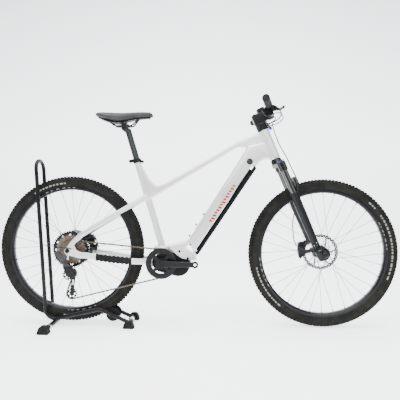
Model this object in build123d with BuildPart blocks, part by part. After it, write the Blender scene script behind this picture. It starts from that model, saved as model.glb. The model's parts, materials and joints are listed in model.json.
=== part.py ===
"""Hardtail electric mountain bike held by the rear wheel in a tubular floor stand.

Millimetres.  X points to the front of the bike, Y to its left, Z up.  The origin is on
the floor, midway between the two axles, in the middle plane.  The drive side is -Y.
Side-view places of the rear half are measured forward from the rear axle (`back`);
everything that turns with the handlebar is placed in the steering frame (`steer`),
whose origin is the lower end of the head tube.
"""
import os
from math import atan2, cos, hypot, pi, radians, sin, sqrt

from build123d import *

# ---------------------------------------------------------------- driving dimensions
WHEELBASE = 1264
TYRE_R = 370
TYRE_HALF_WIDTH = 29.5
REAR_AXLE_Z = 385
FRONT_AXLE_Z = TYRE_R
REAR_X = -WHEELBASE / 2
FRONT_X = WHEELBASE / 2

BB_BACK = 462            # bottom bracket, ahead of the rear axle
BB_Z = 321
CRANK_LENGTH = 170
SPINDLE_R = 12
PEDAL_HOLE_R = 7.1

HEAD_ANGLE = 66.8        # from the floor
HEAD_LENGTH = 154
HEAD_R = 27.5
HEAD_BORE_R = 22
HEAD_BOTTOM_BACK = 1028.5
HEAD_BOTTOM_Z = 841

SEAT_TILT = 16.3         # seat tube, back from the vertical
SEAT_TOP_BACK = 335
SEAT_TOP_Z = 831
SEAT_TUBE_LENGTH = 449
SEAT_TUBE_R = 17
POST_R = 15.45
POST_FIT = 0.05

PITCH = 12.7             # chain pitch
RING_TEETH = 34
COG_TEETH = (11, 13, 15, 17, 19, 21, 24, 28, 32, 37, 46)
COG_SPACING = 3.9
COG_THICKNESS = 1.4
USED_COG = 6             # the chain runs on the 24-tooth cog
FIRST_COG_Y = -66
RING_Y = -52
PULLEY_TEETH = 13
CHAIN_HALF_HEIGHT = 4.2
PLATE_OFFSET = 1.5
PLATE_THICKNESS = 1.2

REAR_HALF_OLD = 74       # half the rear hub width between the dropouts
FRONT_HALF_OLD = 55
ROTOR_R = 90
ROTOR_THICKNESS = 1.8
REAR_ROTOR_Y = 55.2
FRONT_ROTOR_Y = 44.4
REAR_AXLE_R = 6
FRONT_AXLE_R = 7.5
RUNNING_FIT = 0.05
GAP = 0.3                # clearance between faces that turn past each other

SPOKES_PER_SIDE = 16
SPOKE_R = 1.1
RIM_INNER_R = 301
FLANGE_HOLE_R = 29
SPOKE_OFFSET = 3.8
CROSSING_ANGLE = 67.5    # three-cross lacing

STANCHION_R = 17
LEG_Y = 67
LEG_X = 8                # stanchions ahead of the steering axis
AXLE_X = 30.9            # front axle in the steering frame
AXLE_Z = -525.7
LEG_TOP = -184
CROWN_TOP = -24
CROWN_BOTTOM = -70
CROWN_LEG_R = 21
STEERER_R = 14.3

BAR_R = 11.1
CLAMP_X = 57
CLAMP_Z = 209
GRIP_OUTER = (11.8, 370, 246)
GRIP_R = 16.5

HOOP_R = 9.5
HOOP_Y = 47.5
CROSSBAR_R = 11
REAR_BAR_BACK = -88
REAR_BAR_Z = 13.2
FRONT_BAR_BACK = 302
FRONT_BAR_Z = 20
ROLLER_BACK = 212
ROLLER_Z = 55


# ---------------------------------------------------------------- places and helpers
def back(x, z):
    """A side-view point, x measured forward from the rear axle."""
    return (REAR_X + x, z)


def back3(x, y, z):
    return Vector(REAR_X + x, y, z)


TILT = radians(90 - HEAD_ANGLE)
SIDE = Plane.XZ
HEAD_BOTTOM = back3(HEAD_BOTTOM_BACK, 0, HEAD_BOTTOM_Z)
FORWARD = Vector(cos(TILT), 0, sin(TILT))
UPWARD = Vector(-sin(TILT), 0, cos(TILT))
STEER_SIDE = Plane(origin=HEAD_BOTTOM, x_dir=FORWARD, z_dir=(0, -1, 0))


def steer(x, y, z):
    """A point of the steering frame: x forward, y left, z up the steering axis."""
    return HEAD_BOTTOM + FORWARD * x + UPWARD * z + Vector(0, y, 0)


SEAT_UP = Vector(-sin(radians(SEAT_TILT)), 0, cos(radians(SEAT_TILT)))
SEAT_TOP = back3(SEAT_TOP_BACK, 0, SEAT_TOP_Z)
SEAT_FOOT = SEAT_TOP - SEAT_UP * SEAT_TUBE_LENGTH
HEAD_TOP = steer(0, 0, HEAD_LENGTH)


def slab(points, y0, y1, plane=SIDE, mode=Mode.ADD):
    """A side-view outline with width from y0 to y1."""
    with BuildSketch(plane.offset(-y0)) as outline:
        with BuildLine():
            Polyline(*points, close=True)
        make_face()
    extrude(outline.sketch, amount=-(y1 - y0), mode=mode)


def disc(centre, radius, y0, y1, bore=0, plane=SIDE, mode=Mode.ADD):
    """A round piece across the bike, from y0 to y1."""
    with BuildSketch(plane.offset(-y0)) as outline:
        with Locations(centre):
            Circle(radius)
            if bore:
                Circle(bore, mode=Mode.SUBTRACT)
    extrude(outline.sketch, amount=-(y1 - y0), mode=mode)


def rod(start, end, radius, bore=0, mode=Mode.ADD):
    """A straight round bar or pipe between two points."""
    run = Vector(end) - Vector(start)
    with BuildSketch(Plane(origin=start, z_dir=run)) as section:
        Circle(radius)
        if bore:
            Circle(bore, mode=Mode.SUBTRACT)
    extrude(section.sketch, amount=run.length, mode=mode)


def cone(start, end, start_radius, end_radius, mode=Mode.ADD):
    """A straight tapered bar between two points."""
    run = Vector(end) - Vector(start)
    with BuildSketch(Plane(origin=start, z_dir=run)) as first:
        Circle(start_radius)
    with BuildSketch(Plane(origin=end, z_dir=run)) as last:
        Circle(end_radius)
    loft([first.sketch.face(), last.sketch.face()], mode=mode)


def tube(points, radii, radius, bore=0):
    """A round tube along straight runs joined by tangent arcs."""
    with BuildLine() as route:
        FilletPolyline(*points, radius=radii)
    with BuildSketch(Plane(origin=route.line @ 0, z_dir=route.line % 0)) as section:
        Circle(radius)
        if bore:
            Circle(bore, mode=Mode.SUBTRACT)
    sweep(section.sketch, path=route.line)


def bend_radii(points):
    """The largest arcs that a hose's runs allow, one for each corner."""
    places = [Vector(point) for point in points]
    radii = []
    for before, corner, after in zip(places, places[1:], places[2:]):
        turn = (corner - before).get_angle(after - corner)
        shorter = min((corner - before).length, (after - corner).length)
        radii.append(0.45 * shorter / sin(radians(turn / 2)) * cos(radians(turn / 2)))
    return radii


def hose(points, radius):
    """A hose held at both ends, as smooth as its runs allow."""
    radii = bend_radii(points)
    print("hose bends", [round(bend) for bend in radii])
    tube(points, radii, radius)


def block(centre, size, along=(1, 0, 0), mode=Mode.ADD, rounding=0):
    """A box with its length along a side-view direction; size is length, width, height."""
    length, width, height = size
    with BuildSketch(Plane(origin=centre, x_dir=along, z_dir=(0, -1, 0)).offset(width / 2)) as face:
        if rounding:
            RectangleRounded(length, height, rounding)
        else:
            Rectangle(length, height)
    extrude(face.sketch, amount=-width, mode=mode)


def stay(sections, direction):
    """A flattened tube through (x back, y, z, width, height) sections."""
    faces = []
    for x, y, z, width, height in sections:
        plane = Plane(origin=back3(x, y, z), x_dir=(0, 1, 0), z_dir=direction)
        with BuildSketch(plane) as section:
            RectangleRounded(width, height, min(width, height) * 0.4)
        faces.append(section.sketch.face())
    loft(faces, ruled=True)


def hub_plane(x, z):
    """The plane of a turned profile: across the bike, and out from the axle."""
    return Plane(origin=(x, 0, z), x_dir=(0, 1, 0), z_dir=(1, 0, 0))


def turned(x, z, points, mode=Mode.ADD):
    """A piece turned about an axle across the bike; points are (y, radius)."""
    with BuildSketch(hub_plane(x, z)) as profile:
        with BuildLine():
            Polyline(*points, close=True)
        make_face()
    revolve(profile.sketch, axis=Axis((x, 0, z), (0, 1, 0)), mode=mode)


def pitch_radius(teeth):
    return PITCH / (2 * sin(pi / teeth))


# one tooth: share of the pitch, height above the pitch circle
TOOTH = ((-0.30, -3.6), (-0.20, 0), (-0.06, 3.4), (0.06, 3.4), (0.20, 0), (0.30, -3.6))


def toothed(centre, teeth, y, thickness, bore, plane=SIDE):
    """A chain wheel with one tooth per pitch, pointed at the tip."""
    radius = pitch_radius(teeth)
    step = 2 * pi / teeth
    outline = []
    for tooth in range(teeth):
        for share, height in TOOTH:
            angle = (tooth + share) * step
            reach = radius + height
            outline.append((centre[0] + reach * cos(angle), centre[1] + reach * sin(angle)))
    slab(outline, y - thickness / 2, y + thickness / 2, plane)
    disc(centre, bore, y - thickness, y + thickness, plane=plane, mode=Mode.SUBTRACT)


def cog_y(index):
    return FIRST_COG_Y + index * COG_SPACING


# ================================================================ the floor stand
FRONT_LEG = (FRONT_BAR_BACK, FRONT_BAR_Z)
hoop_side = [FRONT_LEG, (150, 87), (-123, 24), (-168, 833.5)]
near_route = [back3(x, -HOOP_Y, z) for x, z in hoop_side]
far_route = [back3(x, HOOP_Y, z) for x, z in reversed(hoop_side)]

with BuildPart() as stand_hoop:
    tube(near_route + far_route, [60, 50, 45, 45, 50, 60], HOOP_R)
    disc(back(REAR_BAR_BACK, REAR_BAR_Z), CROSSBAR_R, -70, 70, mode=Mode.SUBTRACT)
    disc(back(FRONT_BAR_BACK, FRONT_BAR_Z), CROSSBAR_R, -70, 70, mode=Mode.SUBTRACT)
    with BuildSketch(Plane.XZ) as bolt_holes:
        with Locations(back(ROLLER_BACK, ROLLER_Z)):
            Circle(4)
    extrude(bolt_holes.sketch, amount=70, both=True, mode=Mode.SUBTRACT)

REAR_BAR_END = 178
FRONT_BAR_END = 80
with BuildPart() as stand_rear_crossbar:
    disc(back(REAR_BAR_BACK, REAR_BAR_Z), CROSSBAR_R, -REAR_BAR_END, REAR_BAR_END, bore=CROSSBAR_R - 2)

with BuildPart() as stand_front_crossbar:
    disc(back(FRONT_BAR_BACK, FRONT_BAR_Z), CROSSBAR_R, -FRONT_BAR_END, FRONT_BAR_END, bore=CROSSBAR_R - 2)

with BuildPart() as stand_collars:
    for side in (-1, 1):
        rear_ring = sorted((side * 96, side * 114))
        disc(back(REAR_BAR_BACK, REAR_BAR_Z + 0.6), CROSSBAR_R + 2, *rear_ring)
    disc(back(FRONT_BAR_BACK, FRONT_BAR_Z), CROSSBAR_R + 1.6, -13, 13)
    disc(back(REAR_BAR_BACK, REAR_BAR_Z), CROSSBAR_R, -120, 120, mode=Mode.SUBTRACT)
    disc(back(FRONT_BAR_BACK, FRONT_BAR_Z), CROSSBAR_R, -20, 20, mode=Mode.SUBTRACT)

FOOT_LENGTH = 54
FOOT_HEIGHT = 38


def foot(x, z, inner, outer):
    """A rubber boot over one end of a crossbar, wider at the floor."""
    y0, y1 = sorted((inner, outer))
    low, high = FOOT_LENGTH / 2, FOOT_LENGTH / 2 - 8
    outline = [(-low, 0), (low, 0), (low, 9), (high, FOOT_HEIGHT - 6), (high - 7, FOOT_HEIGHT),
               (7 - high, FOOT_HEIGHT), (-high, FOOT_HEIGHT - 6), (-low, 9)]
    slab([back(x + px, pz) for px, pz in outline], y0, y1)
    blind = (y0 - 1, y1 - 5) if inner < outer else (y0 + 5, y1 + 1)
    disc(back(x, z), CROSSBAR_R, *blind, mode=Mode.SUBTRACT)


with BuildPart() as stand_feet:
    for side in (-1, 1):
        foot(REAR_BAR_BACK, REAR_BAR_Z, side * 152, side * 190)
        foot(FRONT_BAR_BACK, FRONT_BAR_Z, side * 58, side * 86)
        end_cap = sorted((side * REAR_BAR_END, side * 186))
        disc(back(REAR_BAR_BACK, REAR_BAR_Z), CROSSBAR_R, *end_cap)
    chamfer(stand_feet.edges().filter_by(Axis.X).group_by(Axis.Z)[-1], 3)

with BuildPart() as stand_roller_bolt:
    disc(back(ROLLER_BACK, ROLLER_Z), 4, -HOOP_Y - 15, HOOP_Y + 15)
    for side in (-1, 1):
        head = sorted((side * (HOOP_Y + HOOP_R), side * (HOOP_Y + 15)))
        with BuildSketch(Plane.XZ.offset(-head[0])) as nut:
            with Locations(back(ROLLER_BACK, ROLLER_Z)):
                RegularPolygon(7.5, 6)
        extrude(nut.sketch, amount=-(head[1] - head[0]))

with BuildPart() as stand_roller:
    turned(*back(ROLLER_BACK, ROLLER_Z), [
        (-30, 4.3), (-30, 30), (-28.5, 34), (-26.5, 34), (-24, 22), (-18, 21.2),
        (18, 21.2), (24, 22), (26.5, 34), (28.5, 34), (30, 30), (30, 4.3)])

# ================================================================ the frame
MOTOR_BACK = (545, 314)
MOTOR_R = 60
DOWN_OUTER_LOW = (641, 357)
DOWN_OUTER_HIGH = (957, 828)
down_run = Vector(DOWN_OUTER_HIGH[0] - DOWN_OUTER_LOW[0], 0, DOWN_OUTER_HIGH[1] - DOWN_OUTER_LOW[1])
DOWN_DIR = down_run.normalized()
DOWN_OUT = Vector(DOWN_DIR.Z, 0, -DOWN_DIR.X)       # away from the tube, towards the wheel
COVER_DEPTH = 15
DOWN_HALF_WIDTH = 31


def down(along, out):
    """Side-view point beside the down tube: along its lower face, and out of it."""
    place = back3(DOWN_OUTER_LOW[0], 0, DOWN_OUTER_LOW[1]) + DOWN_DIR * along + DOWN_OUT * out
    return (place.X, place.Z)


def head_place(height):
    """Side-view point a little behind the steering axis, at a height up the head tube."""
    place = steer(-20, 0, height)
    return (place.X, place.Z)


with BuildPart() as head_tube:
    rod(HEAD_BOTTOM, HEAD_TOP, HEAD_R, bore=HEAD_BORE_R)

with BuildPart() as headset_cups:
    rod(steer(0, 0, 0), steer(0, 0, 10), HEAD_BORE_R, bore=19.2)
    rod(steer(0, 0, HEAD_LENGTH - 10), HEAD_TOP, HEAD_BORE_R, bore=STEERER_R + GAP)

with BuildPart() as seat_tube:
    rod(SEAT_FOOT, SEAT_TOP, SEAT_TUBE_R, bore=POST_R + POST_FIT)

BATTERY_END = 524
with BuildPart() as down_tube:
    slab([down(-8, -COVER_DEPTH), down(BATTERY_END + 8, -COVER_DEPTH), down(BATTERY_END + 10, -6),
          back(939, 812), back(949, 824), back(960, 834), back(977, 840), back(994, 837),
          head_place(4), head_place(92),
          back(888, 898), back(752.5, 684), back(678, 566), back(598, 439)],
         -DOWN_HALF_WIDTH, DOWN_HALF_WIDTH)
    long_edges = down_tube.edges().filter_by(Axis.Y, reverse=True)
    chamfer(long_edges.filter_by(lambda edge: edge.length > 90), 9)
    slab([down(10, -COVER_DEPTH + 1), down(BATTERY_END, -COVER_DEPTH + 1), down(BATTERY_END, -69),
          down(10, -69)], -28, 28, mode=Mode.SUBTRACT)
    rod(steer(0, 0, -30), steer(0, 0, HEAD_LENGTH + 30), HEAD_R, mode=Mode.SUBTRACT)

with BuildPart() as top_tube:
    slab([back(354, 818), back(392, 746), back(430, 706), back(470, 715), back(752, 876),
          back(836, 928), head_place(148), head_place(90), back(888, 899), back(840, 897.5),
          back(752, 846), back(430, 655), back(396, 640)], -19, 19)
    long_edges = top_tube.edges().filter_by(Axis.Y, reverse=True)
    chamfer(long_edges.filter_by(lambda edge: edge.length > 250), 6)
    rod(steer(0, 0, -30), steer(0, 0, HEAD_LENGTH + 30), HEAD_R, mode=Mode.SUBTRACT)
    rod(SEAT_FOOT, SEAT_TOP + SEAT_UP * 50, SEAT_TUBE_R, mode=Mode.SUBTRACT)
    add(down_tube.part, mode=Mode.SUBTRACT)

CRADLE_HALF = 36
EAR_HALF = 43            # the side ears that carry the motor's upper bolts
with BuildPart() as motor_cradle:
    slab([back(420, 372), back(424, 404), back(473.5, 399.5), back(587.5, 428.7), back(599, 440),
          down(-9, -COVER_DEPTH - 1), down(-9, -2), back(634, 333), back(612, 331),
          back(585, 371), back(420, 371)], -CRADLE_HALF, CRADLE_HALF)
    slab([back(420, 372), back(420, 300), back(396, 300), back(396, 345), back(404, 372)], -34, 34)
    disc(back(*MOTOR_BACK), MOTOR_R + 0.5, -60, 60, mode=Mode.SUBTRACT)
    disc(back(BB_BACK, BB_Z), 46.5, -60, 60, mode=Mode.SUBTRACT)
    for side in (-1, 1):
        ear_y = sorted((side * 33, side * EAR_HALF))
        slab([back(500, 392), back(514, 381), back(538, 360), back(565, 343), back(604, 338),
              back(634, 334), down(-9, -2), down(-9, -COVER_DEPTH - 1), back(599, 440),
              back(587.5, 428.7), back(500, 406)], *ear_y)
    rod(SEAT_FOOT - SEAT_UP * 60, SEAT_TOP, SEAT_TUBE_R, mode=Mode.SUBTRACT)
    slab([down(-8, 2), down(-8, -69), down(60, -69), down(60, 2)], -60, 60, mode=Mode.SUBTRACT)
    add(down_tube.part, mode=Mode.SUBTRACT)

with BuildPart() as seat_tube_foot:
    rod(SEAT_FOOT - SEAT_UP * 18, SEAT_FOOT, SEAT_TUBE_R)
    disc(back(*MOTOR_BACK), MOTOR_R + 0.5, -60, 60, mode=Mode.SUBTRACT)

with BuildPart() as dropouts:
    plate = [back(-12, 394), back(4, 413), back(16, 431), back(52, 466), back(70, 445), back(41, 425),
             back(33, 411), back(45, 388), back(66, 378.5), back(100, 377), back(100, 347),
             back(56, 349), back(28, 357), back(0, 364)]
    for side in (-1, 1):
        plate_y = sorted((side * REAR_HALF_OLD, side * (REAR_HALF_OLD + 9)))
        slab(plate, *plate_y)
        disc(back(0, REAR_AXLE_Z - 2), 17, *plate_y)
    slab([back(-8, 372), back(8, 372), back(4, 340), back(-10, 342)], -REAR_HALF_OLD - 8, -REAR_HALF_OLD)
    disc(back(0, REAR_AXLE_Z), REAR_AXLE_R, -100, 100, mode=Mode.SUBTRACT)

with BuildPart() as chainstays:
    stay([(96, -76, 361.5, 14, 30), (150, -74, 352.5, 18, 31), (225, -66, 342, 21, 31),
          (300, -55, 333, 22, 31), (345, -46.5, 329, 20, 31), (372, -40.5, 328, 12, 31),
          (400, -36, 328, 14, 31)], (1, 0, 0))
    mirror(about=Plane.XZ)
    slab([back(392, 313), back(408, 313), back(408, 343), back(392, 343)], -40, 40)
    disc(back(BB_BACK, BB_Z), 46.5, -60, 60, mode=Mode.SUBTRACT)
    add(motor_cradle.part, mode=Mode.SUBTRACT)
    add(dropouts.part, mode=Mode.SUBTRACT)

with BuildPart() as seatstays:
    stay([(58, -77, 456, 13, 26), (130, -72, 501, 15, 25), (230, -57, 563, 16, 24),
          (302, -42.5, 604, 14, 26), (345, -24, 630, 16, 28), (385, -12, 655, 18, 30)], (0.85, 0, 0.53))
    mirror(about=Plane.XZ)
    rod(SEAT_FOOT, SEAT_TOP, SEAT_TUBE_R, mode=Mode.SUBTRACT)
    add(dropouts.part, mode=Mode.SUBTRACT)
    add(top_tube.part, mode=Mode.SUBTRACT)
    slab([back(420, 560), back(520, 560), back(520, 760), back(372, 760)], -30, 30, mode=Mode.SUBTRACT)

with BuildPart() as chainstay_guard:
    stay([(141, -74.5, 354, 21.5, 34), (225, -66, 342, 25, 35), (300, -55, 333, 26, 35),
          (316, -51.5, 331.5, 25, 35)], (1, 0, 0))
    add(chainstays.part, mode=Mode.SUBTRACT)
print("frame done")

with BuildPart() as seat_clamp:
    rod(SEAT_TOP - SEAT_UP * 8, SEAT_TOP + SEAT_UP * 9, SEAT_TUBE_R + 4.5)
    block(SEAT_TOP + Vector(-25, 0, 1), (18, 20, 15), (cos(radians(12)), 0, sin(radians(12))))
    disc((SEAT_TOP.X - 33, SEAT_TOP.Z - 1), 8, -11, 11)
    block(SEAT_TOP + Vector(25, 0, -2), (16, 24, 12), (cos(radians(-12)), 0, sin(radians(-12))))
    rod(SEAT_TOP - SEAT_UP * 30, SEAT_TOP, SEAT_TUBE_R, mode=Mode.SUBTRACT)
    rod(SEAT_TOP - SEAT_UP * 30, SEAT_TOP + SEAT_UP * 40, POST_R + POST_FIT, mode=Mode.SUBTRACT)
    add(top_tube.part, mode=Mode.SUBTRACT)

with BuildPart() as frame_screws:
    for x, z in ((673, 563), (634, 510), (601, 454)):
        normal = Vector(-sin(radians(57.7)), 0, cos(radians(57.7)))
        seat = back3(x, 0, z) - normal * 3
        rod(seat, seat + normal * 9, 5)
    add(down_tube.part, mode=Mode.SUBTRACT)

with BuildPart() as motor_bolts:
    for x, z in ((552, 381), (594, 346)):
        for side in (-1, 1):
            disc(back(x, z), 6, *sorted((side * EAR_HALF, side * (EAR_HALF + 3))))

# ---------------------------------------------------------------- the drive unit
MOTOR_HALF = 40


def motor_outline(grow, y0, y1, mode=Mode.ADD):
    """The drive unit seen from the side: two round ends joined by straight walls."""
    with BuildSketch(SIDE.offset(-y0)) as outline:
        with Locations(back(*MOTOR_BACK)):
            Circle(MOTOR_R + grow)
        with Locations(back(BB_BACK, BB_Z)):
            Circle(46 + grow)
        make_hull()
    extrude(outline.sketch, amount=-(y1 - y0), mode=mode)


with BuildPart() as motor_housing:
    motor_outline(0, -MOTOR_HALF + 2, MOTOR_HALF)
    add(motor_cradle.part, mode=Mode.SUBTRACT)
    add(seat_tube_foot.part, mode=Mode.SUBTRACT)
    add(chainstays.part, mode=Mode.SUBTRACT)
    disc(back(BB_BACK, BB_Z), SPINDLE_R + RUNNING_FIT, -90, 90, mode=Mode.SUBTRACT)

with BuildPart() as motor_covers:
    motor_outline(-5, -MOTOR_HALF - 2, -MOTOR_HALF + 2)
    motor_outline(-5, MOTOR_HALF, MOTOR_HALF + 3)
    disc(back(BB_BACK, BB_Z), SPINDLE_R + GAP, -90, 90, mode=Mode.SUBTRACT)
    add(motor_cradle.part, mode=Mode.SUBTRACT)
    add(chainstays.part, mode=Mode.SUBTRACT)

# ---------------------------------------------------------------- battery
PACK_END = BATTERY_END - 20
with BuildPart() as battery_pack:
    slab([down(22, -COVER_DEPTH + 0.2), down(PACK_END, -COVER_DEPTH + 0.2), down(PACK_END, -66), down(22, -66)],
         -26, 26)
    chamfer(battery_pack.edges().filter_by(Axis.Y, reverse=True).filter_by(lambda e: e.length > 200), 4)

with BuildPart() as battery_cover:
    slab([down(4, -COVER_DEPTH + 0.2), down(0, -6), down(8, 0), down(BATTERY_END + 2, 0),
          down(BATTERY_END + 6, -COVER_DEPTH + 0.2)], -29, 29)
    outer_face = battery_cover.faces().sort_by(lambda face: face.center().Z - face.center().X)[0]
    chamfer(outer_face.edges().filter_by(Axis.Y, reverse=True), 5)

LOCK_BACK = (900, 826)
with BuildPart() as charge_port:
    disc(back(*LOCK_BACK), 15, -DOWN_HALF_WIDTH - 3, -DOWN_HALF_WIDTH, bore=9.3)
    disc(back(*LOCK_BACK), 15, DOWN_HALF_WIDTH, DOWN_HALF_WIDTH + 3)

with BuildPart() as battery_lock:
    disc(back(*LOCK_BACK), 9, -DOWN_HALF_WIDTH - 4, -DOWN_HALF_WIDTH - GAP)
    block(back3(LOCK_BACK[0], -DOWN_HALF_WIDTH - 4, LOCK_BACK[1]), (10, 2, 2.4), mode=Mode.SUBTRACT)

# ================================================================ wheels
TYRE_WALL = 4


def tyre_profile(half_width, crown, bead_y, bead_r):
    """One surface of the casing, from the left bead round the tread to the right bead."""
    shoulder_y, shoulder_r = half_width * 0.62, crown - 7
    ThreePointArc((-bead_y, bead_r), (-half_width, bead_r + 0.48 * (crown - bead_r)), (-shoulder_y, shoulder_r))
    ThreePointArc((-shoulder_y, shoulder_r), (0, crown), (shoulder_y, shoulder_r))
    ThreePointArc((shoulder_y, shoulder_r), (half_width, bead_r + 0.48 * (crown - bead_r)), (bead_y, bead_r))


def tyre(x, z):
    with BuildSketch(hub_plane(x, z)) as section:
        with BuildLine():
            tyre_profile(TYRE_HALF_WIDTH, TYRE_R, 14, 320)
            Polyline((14, 320), (14, 312), (10, 312), (10, 320))
            tyre_profile(TYRE_HALF_WIDTH - TYRE_WALL, TYRE_R - TYRE_WALL, 10, 320)
            Polyline((-10, 320), (-10, 312), (-14, 312), (-14, 320))
        make_face()
    revolve(section.sketch, axis=Axis((x, 0, z), (0, 1, 0)))


RIM_PROFILE = [(-17.5, 319), (-14.2, 319), (-14.2, 311.8), (-8, 307), (8, 307), (14.2, 311.8), (14.2, 319),
               (17.5, 319), (17.5, 309), (9, RIM_INNER_R), (-9, RIM_INNER_R), (-17.5, 309)]
NIPPLE_LENGTH = 12
NIPPLE_R = 2


def wheel_point(x, z, y, radius, angle):
    return Vector(x + radius * cos(radians(angle)), y, z + radius * sin(radians(angle)))


def spokes(x, z, flange_y):
    """Three-cross lacing: neighbours leave opposite faces of the flange and lean opposite ways."""
    step = 360 / SPOKES_PER_SIDE
    for side, y in enumerate(flange_y):
        rim_y = 3.5 if y > 0 else -3.5
        for count in range(SPOKES_PER_SIDE):
            lean = 1 if count % 2 else -1
            hole = step * (count + side / 2)
            start = wheel_point(x, z, y + lean * SPOKE_OFFSET, FLANGE_HOLE_R, hole)
            end = wheel_point(x, z, rim_y, RIM_INNER_R - 0.3, hole + lean * CROSSING_ANGLE)
            near_end = end + (start - end).normalized() * NIPPLE_LENGTH
            yield start, near_end, end


def spoke_set(x, z, flange_y):
    """All the spokes of one wheel, made apart and joined once."""
    pieces = []
    for start, near_end, end in spokes(x, z, flange_y):
        with BuildPart(mode=Mode.PRIVATE) as one:
            rod(start, near_end, SPOKE_R)
            rod(near_end, end, NIPPLE_R)
        pieces.append(one.part.solid())
    return pieces


def rotor(x, z, y, hub_r):
    """A brake disc: a drilled track on six swept arms."""
    y0, y1 = y - ROTOR_THICKNESS / 2, y + ROTOR_THICKNESS / 2
    with BuildSketch(SIDE.offset(-y0)) as outline:
        with Locations((x, z)):
            Circle(ROTOR_R)
            Circle(ROTOR_R - 15, mode=Mode.SUBTRACT)
            Circle(34)
            with PolarLocations(55, 6):
                Rectangle(46, 7, rotation=24)
            Circle(hub_r, mode=Mode.SUBTRACT)
            with PolarLocations(ROTOR_R - 4.5, 30):
                Circle(1.9, mode=Mode.SUBTRACT)
            with PolarLocations(ROTOR_R - 10, 30, start_angle=6):
                Circle(1.9, mode=Mode.SUBTRACT)
    extrude(outline.sketch, amount=-(y1 - y0))


def rotor_bolts(x, z, y):
    for index in range(6):
        spot = wheel_point(x, z, 0, 26, 60 * index + 30)
        disc((spot.X, spot.Z), 4, y + ROTOR_THICKNESS / 2, y + ROTOR_THICKNESS / 2 + 2.5)


REAR = back(0, REAR_AXLE_Z)
FRONT = (FRONT_X, FRONT_AXLE_Z)
REAR_FLANGES = (-21, 34)
FRONT_FLANGES = (-34, 27)


def flange(y, hub_r):
    return [(y - 1.5, hub_r), (y - 1.5, 32), (y + 1.5, 32), (y + 1.5, hub_r)]


with BuildPart() as rear_tyre:
    tyre(*REAR)
with BuildPart() as front_tyre:
    tyre(*FRONT)
with BuildPart() as rear_rim:
    turned(*REAR, RIM_PROFILE)
with BuildPart() as front_rim:
    turned(*FRONT, RIM_PROFILE)
with BuildPart() as rear_spokes:
    add(spoke_set(*REAR, REAR_FLANGES))
with BuildPart() as front_spokes:
    add(spoke_set(*FRONT, FRONT_FLANGES))

AXLE_BORE = REAR_AXLE_R + RUNNING_FIT
FRONT_BORE = FRONT_AXLE_R + RUNNING_FIT
with BuildPart() as rear_hub:
    turned(*REAR, [(-REAR_HALF_OLD + GAP, AXLE_BORE), (-REAR_HALF_OLD + GAP, 9.5), (-25, 9.5), (-25, 20)]
           + flange(REAR_FLANGES[0], 20) + [(-14, 16), (26, 16)] + flange(REAR_FLANGES[1], 20)
           + [(46, 20), (46, 34), (REAR_ROTOR_Y - 0.9, 34), (REAR_ROTOR_Y - 0.9, 16), (62, 16), (62, 9.5),
              (REAR_HALF_OLD - GAP, 9.5), (REAR_HALF_OLD - GAP, AXLE_BORE)])
with BuildPart() as front_hub:
    turned(*FRONT, [(-FRONT_HALF_OLD + GAP, FRONT_BORE), (-FRONT_HALF_OLD + GAP, 11), (-40, 14), (-38, 18)]
           + flange(FRONT_FLANGES[0], 18) + [(-28, 15), (21, 15)] + flange(FRONT_FLANGES[1], 20)
           + [(36, 20), (36, 34), (FRONT_ROTOR_Y - 0.9, 34), (FRONT_ROTOR_Y - 0.9, 16), (50, 16), (50, 11),
              (FRONT_HALF_OLD - GAP, 11), (FRONT_HALF_OLD - GAP, FRONT_BORE)])
with BuildPart() as rear_rotor:
    rotor(*REAR, REAR_ROTOR_Y, 16.1)
with BuildPart() as front_rotor:
    rotor(*FRONT, FRONT_ROTOR_Y, 16.1)
with BuildPart() as rear_rotor_bolts:
    rotor_bolts(*REAR, REAR_ROTOR_Y)
with BuildPart() as front_rotor_bolts:
    rotor_bolts(*FRONT, FRONT_ROTOR_Y)

with BuildPart() as rear_axle:
    disc(REAR, REAR_AXLE_R, -REAR_HALF_OLD - 9, REAR_HALF_OLD + 9)
    disc(REAR, 9, REAR_HALF_OLD + 9, REAR_HALF_OLD + 13)
    disc(REAR, 11, -REAR_HALF_OLD - 12, -REAR_HALF_OLD - 9)
    disc(REAR, 3, REAR_HALF_OLD + 6, REAR_HALF_OLD + 14, mode=Mode.SUBTRACT)

# ================================================================ drivetrain
with BuildPart() as freehub:
    turned(*REAR, [(-70.5, 9.8), (-70.5, 16.5), (-26.2, 16.5), (-26.2, 19), (-25.4, 19), (-25.4, 9.8)])

with BuildPart() as cassette_sprockets:
    for index, teeth in enumerate(COG_TEETH[:-1]):
        toothed(REAR, teeth, cog_y(index), COG_THICKNESS, 16.6)
        if teeth > 26:
            ring_r = pitch_radius(teeth)
            with BuildSketch(SIDE.offset(-cog_y(index) + 2)) as windows:
                with Locations(REAR):
                    with PolarLocations((ring_r - 8 + 24) / 2, 9, start_angle=index * 13):
                        SlotOverall(ring_r - 8 - 24, 9, rotation=20)
            extrude(windows.sketch, amount=-4, mode=Mode.SUBTRACT)

LAST_COG = len(COG_TEETH) - 1
with BuildPart() as cassette_large_sprocket:
    toothed(REAR, COG_TEETH[LAST_COG], cog_y(LAST_COG), COG_THICKNESS, 16.6)
    with BuildSketch(SIDE.offset(-cog_y(LAST_COG) + 2)) as windows:
        with Locations(REAR):
            with PolarLocations(63, 12):
                SlotOverall(36, 15, rotation=18)
    extrude(windows.sketch, amount=-4, mode=Mode.SUBTRACT)

with BuildPart() as cassette_spacers:
    for index in range(LAST_COG):
        low = cog_y(index) + COG_THICKNESS / 2
        disc(REAR, 20.5 if index > 3 else 18.2, low, low + COG_SPACING - COG_THICKNESS, bore=16.6)

with BuildPart() as cassette_lockring:
    disc(REAR, 18, -69.4, FIRST_COG_Y - COG_THICKNESS / 2, bore=16.6)

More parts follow.
